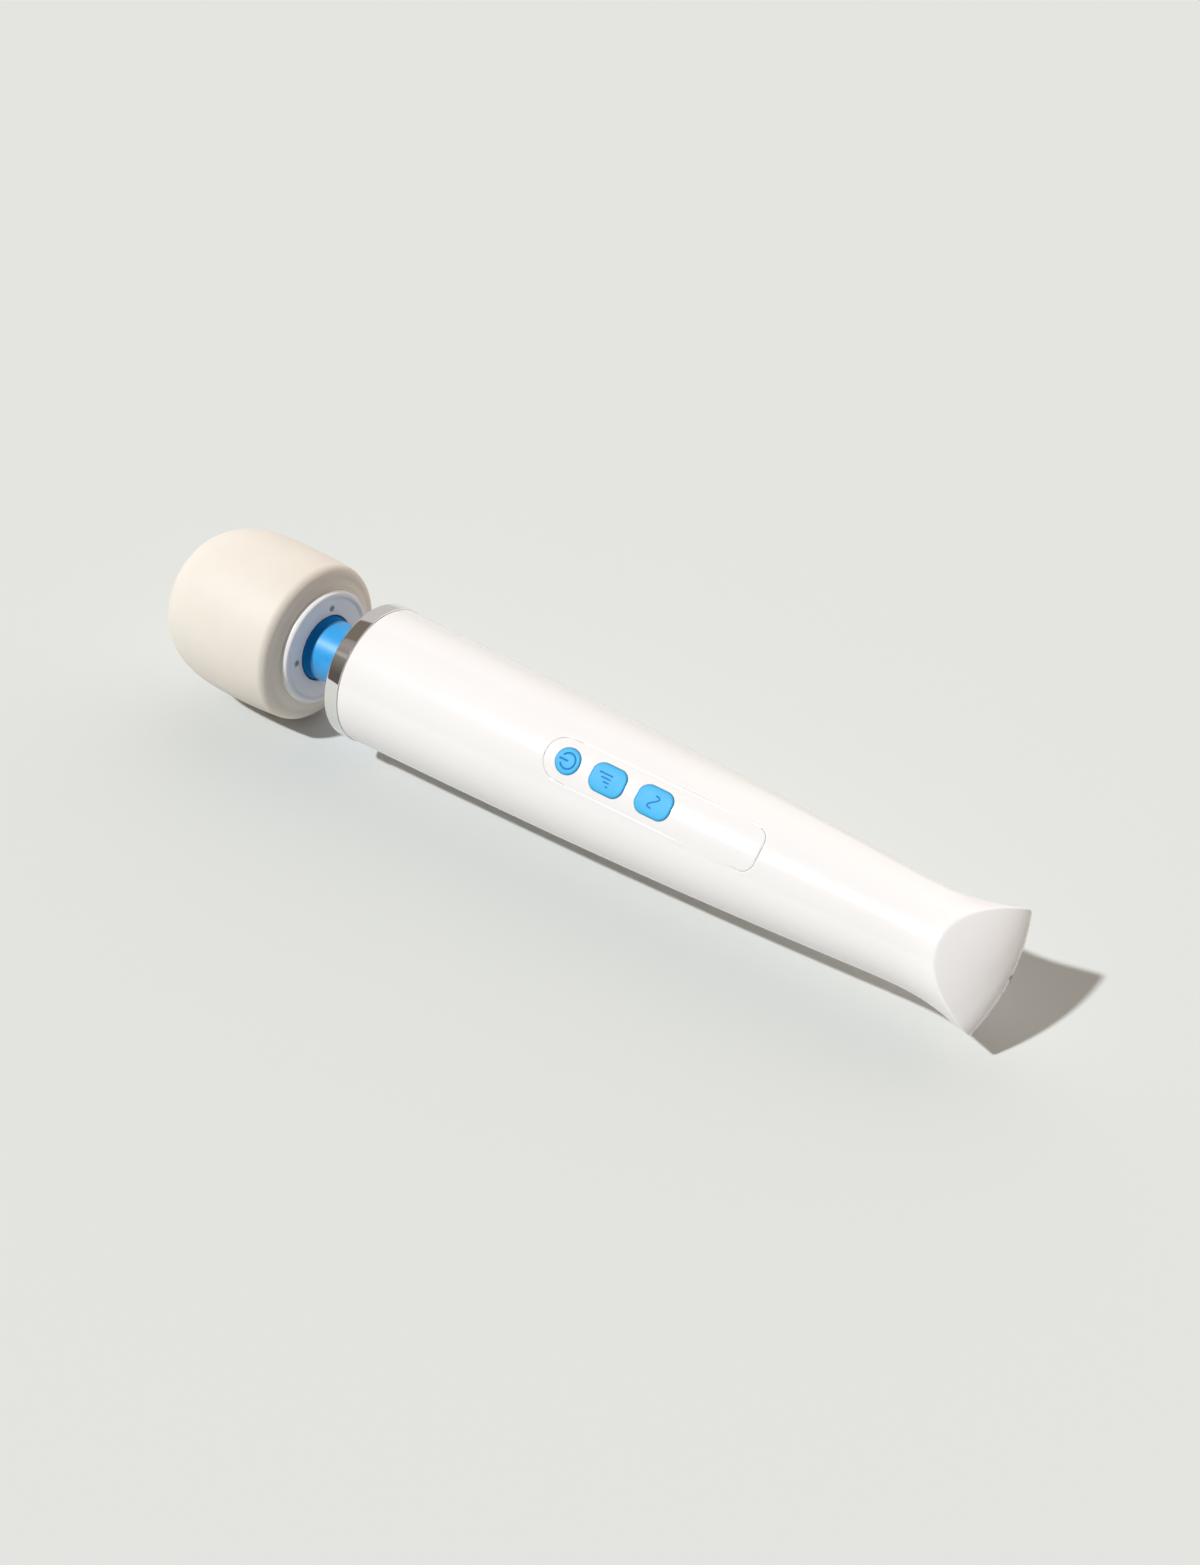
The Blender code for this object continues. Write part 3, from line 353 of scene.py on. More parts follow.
def ring_wall(rings, count):
    """Quads joining consecutive rings of count vertices, numbered ring by ring."""
    faces = []
    for i in range(rings - 1):
        a, b = i * count, (i + 1) * count
        for k in range(count):
            j = (k + 1) % count
            faces.append([a + k, a + j, b + j, b + k])
    return faces


def lofted(name, loops, materials, angle=30.0):
    """A closed solid through loops of equal length, capped at both ends."""
    count = len(loops[0])
    verts = [p for loop in loops for p in loop]
    faces = ring_wall(len(loops), count)
    for i in (0, len(loops) - 1):
        verts.append(tuple(sum(p[e] for p in loops[i]) / count for e in range(3)))
        for k in range(count):
            faces.append([i * count + k, i * count + (k + 1) % count, len(verts) - 1])
    return add_mesh(name, verts, faces, materials, angle=angle)


def stroke(name, points, radius, materials, sides=10):
    """A round-ended rod of circular section through points."""
    points = [Vector(p) for p in points]
    start = (points[0] - points[1]).normalized()
    end = (points[-1] - points[-2]).normalized()
    caps = (0.45, 0.9, 1.35)  # latitudes of the rings on the rounded ends, radians
    path = [(points[0] + start * radius * math.sin(a), radius * math.cos(a))
            for a in reversed(caps)]
    path += [(p, radius) for p in points]
    path += [(points[-1] + end * radius * math.sin(a), radius * math.cos(a)) for a in caps]
    last = len(path) - 1
    verts = []
    for i, (centre, ring_r) in enumerate(path):
        along = (path[min(i + 1, last)][0] - path[max(i - 1, 0)][0]).normalized()
        up = Vector((0, 0, 1))
        up = (up - along * up.dot(along)).normalized()
        side = along.cross(up)
        for k in range(sides):
            a = 2 * math.pi * k / sides
            verts.append(centre + (up * math.cos(a) + side * math.sin(a)) * ring_r)
    faces = ring_wall(len(path), sides)
    faces.append(list(range(sides)))
    faces.append(list(range(last * sides, (last + 1) * sides)))
    return add_mesh(name, verts, faces, materials)


def block(name, x, y, z, materials):
    """A box; x, y and z are (low, high) pairs."""
    verts = [(i, j, k) for i in x for j in y for k in z]
    faces = [(0, 1, 3, 2), (4, 6, 7, 5), (0, 4, 5, 1), (2, 3, 7, 6), (0, 2, 6, 4), (1, 5, 7, 3)]
    return add_mesh(name, verts, faces, materials, angle=None)


def rounded_rect(cx, cy, length, width, radius, steps):
    points = []
    for sx, sy, start in ((1, 1, 0), (-1, 1, 90), (-1, -1, 180), (1, -1, 270)):
        for k in range(steps + 1):
            a = math.radians(start + 90 * k / steps)
            points.append((cx + sx * (length / 2 - radius) + radius * math.cos(a),
                           cy + sy * (width / 2 - radius) + radius * math.sin(a)))
    return points


def circle(cx, cy, r, segs):
    return [(cx + r * math.cos(2 * math.pi * k / segs), cy + r * math.sin(2 * math.pi * k / segs))
            for k in range(segs)]


def cut(target, *cutters):
    """Subtracts the cutters from the target's mesh and removes them."""
    for cutter in cutters:
        boolean = target.modifiers.new(cutter.name, "BOOLEAN")
        boolean.operation, boolean.solver, boolean.object = "DIFFERENCE", "EXACT", cutter
        boolean.material_mode = "TRANSFER"
    bpy.context.view_layer.update()
    graph = bpy.context.evaluated_depsgraph_get()
    mesh = bpy.data.meshes.new_from_object(target.evaluated_get(graph),
                                           preserve_all_data_layers=True, depsgraph=graph)
    target.modifiers.clear()
    old = target.data
    target.data = mesh
    bpy.data.meshes.remove(old)
    for cutter in cutters:
        data = cutter.data
        bpy.data.objects.remove(cutter)
        if data.users == 0:
            bpy.data.meshes.remove(data)


def cut_cross(screw, name, centre, turn, levels, to_xyz, material):
    """Cuts a tapered cross recess into a screw head and reshades it.

    levels are (height, half length, half width); to_xyz orders (height, a, b) as x, y, z.
    """
    arms = []
    for arm, angle in enumerate((turn, turn + math.pi / 2)):
        along = Vector((math.cos(angle), math.sin(angle)))
        across = Vector((-along.y, along.x))
        loops = []
        for height, half_l, half_w in levels:
            loops.append([to_xyz(height,
                                 centre[0] + along.x * sx * half_l + across.x * sy * half_w,
                                 centre[1] + along.y * sx * half_l + across.y * sy * half_w)
                          for sx, sy in ((1, 1), (-1, 1), (-1, -1), (1, -1))])
        arms.append(lofted(f"{name}_{arm}", loops, (material,)))
    cut(screw, *arms)
    shade(screw.data, 35)


def register(obj, node, part):
    """Tells the frame which CAD node a piece replaces and the part it rides on."""
    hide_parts(node)
    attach(obj, part)


# ------------------------------------------------------------------ form of the handle
SLOPES = [(after[1] - before[1]) / (after[0] - before[0])
          for before, after in zip(STATIONS[:1] + STATIONS[:-1], STATIONS[1:] + STATIONS[-1:])]


def handle_radius(x, derivative=False):
    """A cubic Hermite curve through STATIONS, or its slope."""
    x = min(max(x, STATIONS[0][0]), STATIONS[-1][0])
    i = max(k for k in range(len(STATIONS) - 1) if STATIONS[k][0] <= x)
    (xa, a), (xb, b) = STATIONS[i:i + 2]
    slope_a, slope_b = SLOPES[i:i + 2]
    h = xb - xa
    t = (x - xa) / h
    if derivative:
        return ((6 * t * t - 6 * t) * a / h + (3 * t * t - 4 * t + 1) * slope_a
                + (-6 * t * t + 6 * t) * b / h + (3 * t * t - 2 * t) * slope_b)
    return ((2 * t ** 3 - 3 * t ** 2 + 1) * a + (t ** 3 - 2 * t ** 2 + t) * h * slope_a
            + (-2 * t ** 3 + 3 * t ** 2) * b + (t ** 3 - t ** 2) * h * slope_b)


def tail_x(y, z):
    """The wedge-like tail surface, which falls away from a ridge along y."""
    return RIDGE_X - RIDGE_BOW * y * y - (RIDGE_CURVE + RIDGE_TIGHTEN * y * y) * z * z


def on_skin(x, y, offset=0.0):
    """The point of the skin's +z side above (x, y), moved out by offset."""
    return (x, y, math.sqrt(max((handle_radius(x) + offset) ** 2 - y * y, 0.0)))


# ------------------------------------------------------------------ handle mesh
RIM_ROUND = 0.22
BODY_START, BODY_END = 0.4, 200.0  # even rows, from BODY_START past HANDLE_X0
BODY_X = [HANDLE_X0 + RIM_ROUND]
BODY_X += [HANDLE_X0 + BODY_START + (BODY_END - HANDLE_X0 - BODY_START) * (k / 46)
           for k in range(47)]
TAIL_ROWS, END_ROWS, MERIDIANS = 22, 20, 168


def meridian(theta, wall, end_wall):
    """Points at angle theta from +Y, from the head end almost to the axis at the tail."""
    cosine, sine = math.cos(theta), math.sin(theta)

    def side_r(x):
        return handle_radius(x) - wall

    def end_x(r):
        return tail_x(r * cosine, r * sine) - end_wall

    # bisect for the crease between the side and the tail surface
    low, high = 205.0, 247.5
    for _ in range(50):
        middle = 0.5 * (low + high)
        if middle < end_x(side_r(middle)):
            low = middle
        else:
            high = middle
    crease_x, crease_r = low, side_r(low)
    line = [(x, side_r(x)) for x in BODY_X]
    stop = crease_x - CREASE
    for k in range(1, TAIL_ROWS + 1):
        x = BODY_X[-1] + (stop - BODY_X[-1]) * (k / TAIL_ROWS)
        line.append((x, side_r(x)))
    # a point the same distance along the end surface, then a blend between the two
    end_r = crease_r
    for _ in range(30):
        end_r -= 0.02
        if math.hypot(end_r - crease_r, end_x(end_r) - crease_x) >= CREASE:
            break
    start = np.array(line[-1])
    corner = np.array((crease_x, crease_r))
    end = np.array((end_x(end_r), end_r))
    for k in range(1, 7):
        t = k / 6
        point = (1 - t) ** 2 * start + 2 * t * (1 - t) * corner + t * t * end
        line.append((float(point[0]), float(point[1])))
    for k in range(1, END_ROWS):
        r = end_r * (1 - k / END_ROWS)
        line.append((end_x(r), r))
    return [(x, r * cosine, r * sine) for x, r in line]


def handle_solid(name):
    """The whole handle, open at the head end: outer skin, inner skin and the rim between."""
    verts, faces, skins = [], [], []
    # rim points are (x past HANDLE_X0, inset): a small round outside, square inside
    outer = (0.0, 0.0, ((0.0, RIM_ROUND), (0.06, 0.08)))
    inner = (WALL, END_WALL, ((0.0, 0.0),))
    for wall, end_wall, rim in (outer, inner):
        start = len(verts)
        for k in range(MERIDIANS):
            line = meridian(2 * math.pi * (k + 0.5) / MERIDIANS, wall, end_wall)
            y, z = line[0][1:]
            r = math.hypot(y, z)
            verts += [(HANDLE_X0 + dx, y * (r - inset) / r, z * (r - inset) / r)
                      for dx, inset in rim]
            verts += line
        count = (len(verts) - start) // MERIDIANS
        apex = len(verts)
        verts.append((tail_x(0, 0) - end_wall, 0.0, 0.0))
        for k in range(MERIDIANS):
            a, b = start + k * count, start + (k + 1) % MERIDIANS * count
            for j in range(count - 1):
                faces.append([a + j, b + j, b + j + 1, a + j + 1])
            faces.append([a + count - 1, b + count - 1, apex])
        skins.append((start, count))
    (start_out, count_out), (start_in, count_in) = skins
    for k in range(MERIDIANS):
        j = (k + 1) % MERIDIANS
        faces.append([start_out + k * count_out, start_out + j * count_out,
                      start_in + j * count_in, start_in + k * count_in])
    return add_mesh(name, verts, faces, (SHELL,))


def true_normals(obj, offset=0.0):
    """Gives the outer skin the exact normals of the form, so cuts leave no dents in the gloss."""
    tolerance, alignment = 4e-3, 0.93  # mm from the form; cosine to the face's own normal
    mesh = obj.data
    shade(mesh, 28.0)
    vert_count, corner_count = len(mesh.vertices), len(mesh.loops)
    points = np.zeros(vert_count * 3)
    mesh.vertices.foreach_get("co", points)
    points = (points.reshape(-1, 3) - np.array(ORIGIN)) * 1000.0
    vert_of = np.zeros(corner_count, int)
    mesh.loops.foreach_get("vertex_index", vert_of)
    normals = np.zeros(corner_count * 3, np.float32)
    mesh.corner_normals.foreach_get("vector", normals)
    normals = normals.reshape(-1, 3).astype(float)
    face_normals = np.zeros((corner_count, 3))
    for face in mesh.polygons:
        face_normals[face.loop_start:face.loop_start + face.loop_total] = face.normal

    x, y, z = points[:, 0], points[:, 1], points[:, 2]
    rho = np.hypot(y, z)
    radius = np.array([handle_radius(v) for v in x]) + offset
    slope = np.array([handle_radius(v, True) for v in x])
    side = np.stack([-slope, y / np.maximum(rho, 1e-6), z / np.maximum(rho, 1e-6)], 1)
    tail = np.stack([np.ones(vert_count), 2 * y * (RIDGE_BOW + RIDGE_TIGHTEN * z * z),
                     2 * z * (RIDGE_CURVE + RIDGE_TIGHTEN * y * y)], 1)
    on_side = np.abs(rho - radius) < tolerance
    on_tail = np.abs(x - tail_x(y, z)) < tolerance
    for on_form, form in ((on_side, side), (on_tail, tail)):
        form = (form / np.linalg.norm(form, axis=1)[:, None])[vert_of]
        use = on_form[vert_of] & ((face_normals * form).sum(1) > alignment)
        normals[use] = form[use]
    mesh.normals_split_custom_set([tuple(v) for v in normals])


# ------------------------------------------------------------------ head
def dome(steps, grow=0.0):
    """The superelliptic front of the head, from the axis to the widest section."""
    out = []
    for k in range(steps + 1):
        a = 0.5 * math.pi * k / steps
        r = (HEAD_R + grow) * math.sin(a) ** (2 / HEAD_POWER)
        reach = (HEAD_DOME + grow) * math.cos(a) ** (2 / HEAD_POWER) if k < steps else 0.0
        out.append((HEAD_WIDEST_X - reach, r))
    return out


def even(points, count):
    """The same curve with evenly spaced points, so that the gloss has no bands."""
    points = np.array(points, float)
    steps = np.linalg.norm(np.diff(points, axis=0), axis=1)
    length = np.concatenate([[0], np.cumsum(steps)])
    return [(float(np.interp(v, length, points[:, 0])), float(np.interp(v, length, points[:, 1])))
            for v in np.linspace(0, length[-1], count)]


def head_cover():
    skin = even(dome(400), 72)
    # from the widest section the wall leans in, slowly at first
    side_end = HEAD_REAR_X - HEAD_REAR_ROUND
    side = []
    for k in range(1, 13):
        t = k / 12
        side.append((HEAD_WIDEST_X + (side_end - HEAD_WIDEST_X) * t,
                     HEAD_R - (HEAD_R - HEAD_REAR_R) * t ** 2))
    rear = []
    for k in range(1, 15):
        a = 0.5 * math.pi * k / 14
        rear.append((HEAD_REAR_X + HEAD_REAR_ROUND * (math.sin(a) - 1),
                     HEAD_REAR_R + HEAD_REAR_ROUND * (math.cos(a) - 1)))
    # the rear face swells a little towards the plate
    lip_r, lip_x = 25.2, HEAD_REAR_X - 4.0
    lip = [(HEAD_REAR_X + 0.45 * (1 - math.cos(math.pi * k / 10)), lip_r - 0.36 * k)
           for k in range(1, 11)]
    lip += soften([(HEAD_REAR_X + 0.92, PLATE_R + 0.58, 0.3),
                   (HEAD_REAR_X + 1.4, PLATE_R + 0.07, 0.08),
                   (lip_x, PLATE_R + 0.07, 0.3), (lip_x, lip_r, 0)], steps=6)
    inside = even(dome(200, -HEAD_WALL), 30)[::-1]
    cover = turned("silicone_head_cap", skin + side + rear + lip + inside, (SILICONE,), 192)
    register(cover, "head_cover", "head")


def plate_screw(number, centre):
    """A cross-recess screw, seated just under the plate's face."""
    top = PLATE_FACE_X - 0.2
    screw = turned(f"plate_screw_{number + 1}", soften([
        (-32.0, 0, 0), (-32.0, 0.85, 0.3), (-26.2, 0.85, 0), (-26.2, 1.1, 0.1),
        (top - 0.2, 1.1, 0.15), (top, 0.85, 0.2), (top, 0, 0)], steps=4),
        (PLATE_SCREW,), 32, centre)
    cut_cross(screw, f"cut_arm_{number}", centre, 0.35,
              ((top - 0.6, 0.35, 0.08), (top + 0.3, 0.62, 0.15)),
              lambda height, a, b: (height, a, b), PLATE_SCREW)
    register(screw, f"head_screw_{number + 1}", "head")


def rear_plate():
    bore = NECK_ROOT_R + 0.1
    face = PLATE_FACE_X
    flange = HEAD_REAR_X - 4.3
    # (x, r, corner radius)
    profile = soften([
        (face - 0.9, bore, 0), (face - 0.1, bore, 0.12), (face, NECK_ROOT_R + 0.5, 0.3),
        (face, PLATE_R - 2.9, 1.4), (PLATE_X, PLATE_R - 1.7, 1.1),
        (PLATE_X - 0.1, PLATE_R - 0.55, 0.9), (PLATE_X - 1.5, PLATE_R, 1.6),
        (flange, PLATE_R, 0), (flange, 25.0, 0), (-32.6, 25.0, 0), (-32.6, 22.2, 0),
        (-31.0, 22.2, 0), (-31.0, 11.6, 0), (-38.4, 11.6, 0), (-38.4, 8.3, 0),
        (-32.4, 8.3, 0), (-32.4, 4.9, 0), (-27.4, 4.9, 0), (-27.4, bore, 0),
    ], closed=True, steps=6)
    plate = turned("head_plate_ring", profile, (PLATE,), 160, closed=True)
    holes = []
    hole_profile = [(-33.0, 0), (-33.0, 1.1), (-26.4, 1.1), (-26.4, 1.18), (face - 0.12, 1.18),
                    (face + 0.05, 1.3), (-18.0, 1.3), (-18.0, 0)]
    for n, degrees in enumerate(PLATE_SCREW_ANGLES):
        a = math.radians(degrees)
        centre = (PLATE_SCREW_CIRCLE * math.cos(a), PLATE_SCREW_CIRCLE * math.sin(a))
        holes.append(turned(f"cut_plate_{n}", hole_profile, (PLATE,), 32, centre))
        plate_screw(n, centre)
    cut(plate, *holes)
    shade(plate.data, 30)
    register(plate, "head_rear_plate", "head")


# ------------------------------------------------------------------ neck
# Sleeve, spring and shaft are each in two lengths that meet at NECK_MID_X.
def bend_head_end(obj):
    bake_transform(obj)


def bend_handle_end(obj, node):
    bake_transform(obj)
    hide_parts(node)


def neck_sleeve():
    root_r = NECK_ROOT_R - 0.3
    profile = [(-26.9, NECK_BORE_R), (-26.9, NECK_ROOT_R), (NECK_ROOT_X - 2.5, NECK_ROOT_R),
               (NECK_ROOT_X - 2.2, root_r)]
    for k in range(13):
        a = 0.5 * math.pi * k / 12
        profile.append((NECK_ROOT_X + 1.7 - 1.7 * math.cos(a),
                        root_r - (root_r - NECK_R) * math.sin(a)))
    profile += [(x, NECK_R) for x in np.linspace(NECK_ROOT_X + 3.0, NECK_MID_X, 14)]
    profile += [(x, NECK_BORE_R) for x in np.linspace(NECK_MID_X, -26.0, 10)]
    sleeve = turned("neck_sleeve_head_end", profile, (NECK_BLUE, NECK_ROOT_PAINTED_SHADE), 144, closed=True,
                    angle=40)
    for face in sleeve.data.polygons:
        # the fillet at the root is matt and painted a darker blue: painted shade where the plate
        # rim shades it
        if (face.center.x - ORIGIN[0]) * 1000.0 < NECK_ROOT_X + 2.6:
            face.material_index = 1
    bend_head_end(sleeve)

    profile = [(x, NECK_R) for x in np.linspace(NECK_MID_X, -2.4, 12)]
    profile += [(x, NECK_R + (x + 2.4) ** 2 * 0.12) for x in np.linspace(-2.0, 0.8, 6)]
    profile += [(8.6, NECK_R + 1.3), (8.6, 14.0), (10.4, 14.0), (10.4, NECK_BORE_R)]
    profile += [(x, NECK_BORE_R) for x in np.linspace(8.0, NECK_MID_X, 10)]
    sleeve = turned("neck_sleeve_handle_end", profile, (NECK_BLUE,), 144, closed=True, angle=40)
    bend_handle_end(sleeve, "neck_sleeve")


def neck_spring():
    x0, x1, turns, coil_r, wire_r = -24.2, 8.0, 7, 8.5, 0.7
    coil = []
    for k in range(turns * 40 + 1):
        a = 2 * math.pi * k / 40
        coil.append((x0 + (x1 - x0) * k / (turns * 40), coil_r * math.cos(a),
                     coil_r * math.sin(a)))
    middle = next(k for k, point in enumerate(coil) if point[0] > NECK_MID_X)
    bend_head_end(stroke("neck_spring_head_end", coil[:middle - 1], wire_r, (STEEL,), sides=12))
    bend_handle_end(stroke("neck_spring_handle_end", coil[middle + 1:], wire_r, (STEEL,),
                           sides=12), "neck_spring")


def drive_shaft():
    x0, x1, bore, outer, groove = -26.8, 3.6, 2.8, 4.4, 4.0
    wound = [(x0 + 3.04 * k, groove if k % 2 else outer) for k in range(11)] + [(x1, outer)]
    # a small gap parts the two lengths
    left, right = NECK_MID_X - 0.02, NECK_MID_X + 0.02
    profile = [(x0, bore)] + [p for p in wound if p[0] < NECK_MID_X]
    profile += [(left, 4.2), (left, bore), (-18.0, bore)]
    bend_head_end(turned("flexible_shaft_head_end", profile, (STEEL,), 48, closed=True))
    profile = [(right, bore), (right, 4.2)] + [p for p in wound if p[0] > NECK_MID_X]
    profile += [(x1, bore), (-4.0, bore)]
    bend_handle_end(turned("flexible_shaft_handle_end", profile, (STEEL,), 48, closed=True),
                    "flexible_drive_shaft")


# ------------------------------------------------------------------ collar and end face
def collar():
    rear = COLLAR_LENGTH - 0.05
    ring = turned("collar_ring", soften([
        (0.0, 20.7, 0.25), (0.0, COLLAR_R, 1.3), (rear, COLLAR_R, 0.12), (rear, 21.2, 0),
        (12.0, 21.2, 0), (12.0, 19.6, 0), (4.6, 19.6, 0), (4.6, 20.7, 0),
    ], closed=True, steps=8), (CHROME,), 224, closed=True)
    register(ring, "chrome_collar", "handle")


def handle_face():
    """The ring between the neck and the collar."""
    face = turned("handle_front_face", soften([
        (4.3, 12.9, 0), (0.55, 12.9, 0.35), (0.2, 14.2, 0.5), (0.95, 17.0, 1.5),
        (0.95, 20.45, 0.3), (4.3, 20.45, 0), (4.3, 19.2, 0), (11.4, 19.2, 0), (11.4, 17.2, 0),
        (4.3, 17.2, 0),
    ], closed=True, steps=6), (SHELL,), 144, closed=True)
    register(face, "handle_end_cap", "handle")


# ------------------------------------------------------------------ handle shells
def panel_outline(grow, straight=40, arc=14):
    """The panel's outline as a loop of (x, y)."""
    half = PANEL_HALF + grow
    x0, x1 = PANEL_X0 - grow, PANEL_X1 + grow
    head_r, tail_r = PANEL_HEAD_ROUND + grow, PANEL_TAIL_ROUND + grow
    top = []
    for k in range(arc + 1):
        a = math.pi - 0.5 * math.pi * k / arc
        top.append((x0 + head_r + head_r * math.cos(a), half - head_r + head_r * math.sin(a)))
    for k in range(1, straight):
        top.append((x0 + head_r + (x1 - tail_r - x0 - head_r) * k / straight, half))
    for k in range(arc + 1):
        a = 0.5 * math.pi - 0.5 * math.pi * k / arc
        top.append((x1 - tail_r + tail_r * math.cos(a), half - tail_r + tail_r * math.sin(a)))
    return top + [(x, -y) for x, y in reversed(top)]


def port_outline(grow, steps):
    """The charging port's outline as a loop of (y, z)."""
    return rounded_rect(0, 0, PORT_L + 2 * grow, PORT_W + 2 * grow, PORT_W / 2 - 0.01 + grow,
                        steps)


def port_slot(name):
    return lofted(name, [[(x, y, z) for y, z in port_outline(0.15, 10)] for x in (237.0, 250.0)],
                  (SHELL,))


def shell_screw_z(x, y):
    """The skin's height on the -z side, where a shell screw goes in."""
    return -math.sqrt(handle_radius(x) ** 2 - y * y)


def shells():
    front = handle_solid("front_shell_skin")
    rear = front.copy()
    rear.data = front.data.copy()
    rear.name = "rear_shell_skin"
    bpy.context.scene.collection.objects.link(rear)
    # the seam is a gap of 0.08 at z = 0
    cut(front, block("cut_below", (-10, 260), (-40, 40), (-40, 0.04), (SHELL,)))
    cut(rear, block("cut_above", (-10, 260), (-40, 40), (-0.04, 40), (SHELL,)))

    # (growth of the panel's outline, offset from the skin): a seat with a rounded edge
    seat_levels = ((0.08, -1.5), (0.08, -0.2), (0.17, -0.11), (0.34, -0.045), (0.68, 0.0),
                   (1.3, 0.4))
    seat = lofted("cut_seat", [[on_skin(x, y, offset) for x, y in panel_outline(grow)]
                               for grow, offset in seat_levels], (SHELL,))
    window_corners = ((90.4, -6.2), (154.2, -6.2), (154.2, 6.2), (90.4, 6.2))
    window = lofted("cut_window", [[(x, y, z) for x, y in window_corners]
                                   for z in (12.0, 30.0)], (SHELL,))
    cut(front, seat, window, port_slot("cut_slot_f"))

    recesses = []
    for n, (x, y, r) in enumerate(SHELL_SCREWS):
        skin_z = shell_screw_z(x, y)
        levels = ((skin_z - 6, r + 0.35), (skin_z - 1.2, r + 0.35), (skin_z + 1.6, r),
                  (skin_z + SHELL_SCREW_DEPTH, r))
        loops = [[(px, py, z) for px, py in circle(x, y, ring_r, 40)] for z, ring_r in levels]
        recesses.append(lofted(f"cut_recess_{n}", loops, (SHELL,)))
    cut(rear, port_slot("cut_slot_b"), *recesses)
    for shell, node in ((front, "handle_front_shell"), (rear, "handle_rear_shell")):
        true_normals(shell)
        register(shell, node, "handle")


def shell_screws():
    for n, (x, y, recess_r) in enumerate(SHELL_SCREWS, 1):
        seat = shell_screw_z(x, y) + SHELL_SCREW_DEPTH
        r = recess_r - 0.18
        # (z, radius), from the tip of the shank to the middle of the head
        levels = ((3.8, 1.0), (seat - 0.25, 1.05), (seat - 0.25, r), (seat - 1.3, r),
                  (seat - 1.6, r - 0.12), (seat - 1.75, r - 0.45), (seat - 1.78, 0.05))
        loops = [[(px, py, z) for px, py in circle(x, y, ring_r, 40)] for z, ring_r in levels]
        screw = lofted(f"case_screw_{n}", loops, (SCREW,))
        cut_cross(screw, f"cut_case_{n}", (x, y), 0.6 * n,
                  ((seat - 0.7, 0.6, 0.16), (seat - 2.2, 1.15, 0.28)),
                  lambda height, a, b: (a, b, height), SCREW)
        register(screw, f"shell_screw_{n}", "handle")


# ------------------------------------------------------------------ keys: form and icons
def power_outline(grow):
    return circle(POWER_X, 0, POWER_R + grow, 72)


def oblong_outline(x_mid):
    return lambda grow: rounded_rect(x_mid, 0, RECT_L + 2 * grow, RECT_W + 2 * grow,
                                     RECT_CORNER + grow, 12)


def power_icon():
    """An open ring and a bar, the gap and the bar towards the head."""
    gap_half, ring_r = 36, 2.6
    ring = []
    for k in range(37):
        a = math.radians(180 - gap_half - (360 - 2 * gap_half) * k / 36)
        ring.append((0.2 + ring_r * math.cos(a), ring_r * math.sin(a)))
    return {"icon_ring": ring, "icon_bar": [(-2.75 + 0.25 * k, 0.0) for k in range(12)]}


def level_icon():
    """Four bars along the wand, the longest on the +Y side."""
    # (middle x, y, half length)
    bars = ((-1.15, 1.55, 2.3), (-0.65, 0.25, 1.5), (0.0, -1.0, 0.8), (0.7, -2.2, 0.2))
    return {f"icon_level_{n}": [(dx - half + 2 * half * k / 8, dy) for k in range(9)]
            for n, (dx, dy, half) in enumerate(bars)}


def pattern_icon():
    """One wave running across the wand."""
    wave = []
    for k in range(33):
        t = k / 32 * 2 - 1
        wave.append((1.5 * math.sin(0.97 * math.pi * t), 2.1 * math.sin(1.45 * t)))
    return {"icon_wave": wave}


# (name, middle x, half length, half width, outline, icon, icon stroke radius)
KEYS = (
    ("power", POWER_X, POWER_R, POWER_R, power_outline, power_icon, 0.33),
    ("level", LEVEL_X, RECT_L / 2, RECT_W / 2, oblong_outline(LEVEL_X), level_icon, 0.26),
    ("pattern", PATTERN_X, RECT_L / 2, RECT_W / 2, oblong_outline(PATTERN_X), pattern_icon,
     0.26),
)
KEY_PROUD, KEY_DISH, KEY_ROUND, KEY_FLANGE = 0.34, 0.10, 0.55, 0.55


# ------------------------------------------------------------------ control panel
def panel_half_width(x):
    width = PANEL_HALF
    if x < PANEL_X0 + PANEL_HEAD_ROUND:
        along = PANEL_X0 + PANEL_HEAD_ROUND - x
        width = (PANEL_HALF - PANEL_HEAD_ROUND
                 + math.sqrt(max(PANEL_HEAD_ROUND ** 2 - along ** 2, 0)))
    if x > PANEL_X1 - PANEL_TAIL_ROUND:
        along = x - PANEL_X1 + PANEL_TAIL_ROUND
        width = (PANEL_HALF - PANEL_TAIL_ROUND
                 + math.sqrt(max(PANEL_TAIL_ROUND ** 2 - along ** 2, 0)))
    return width


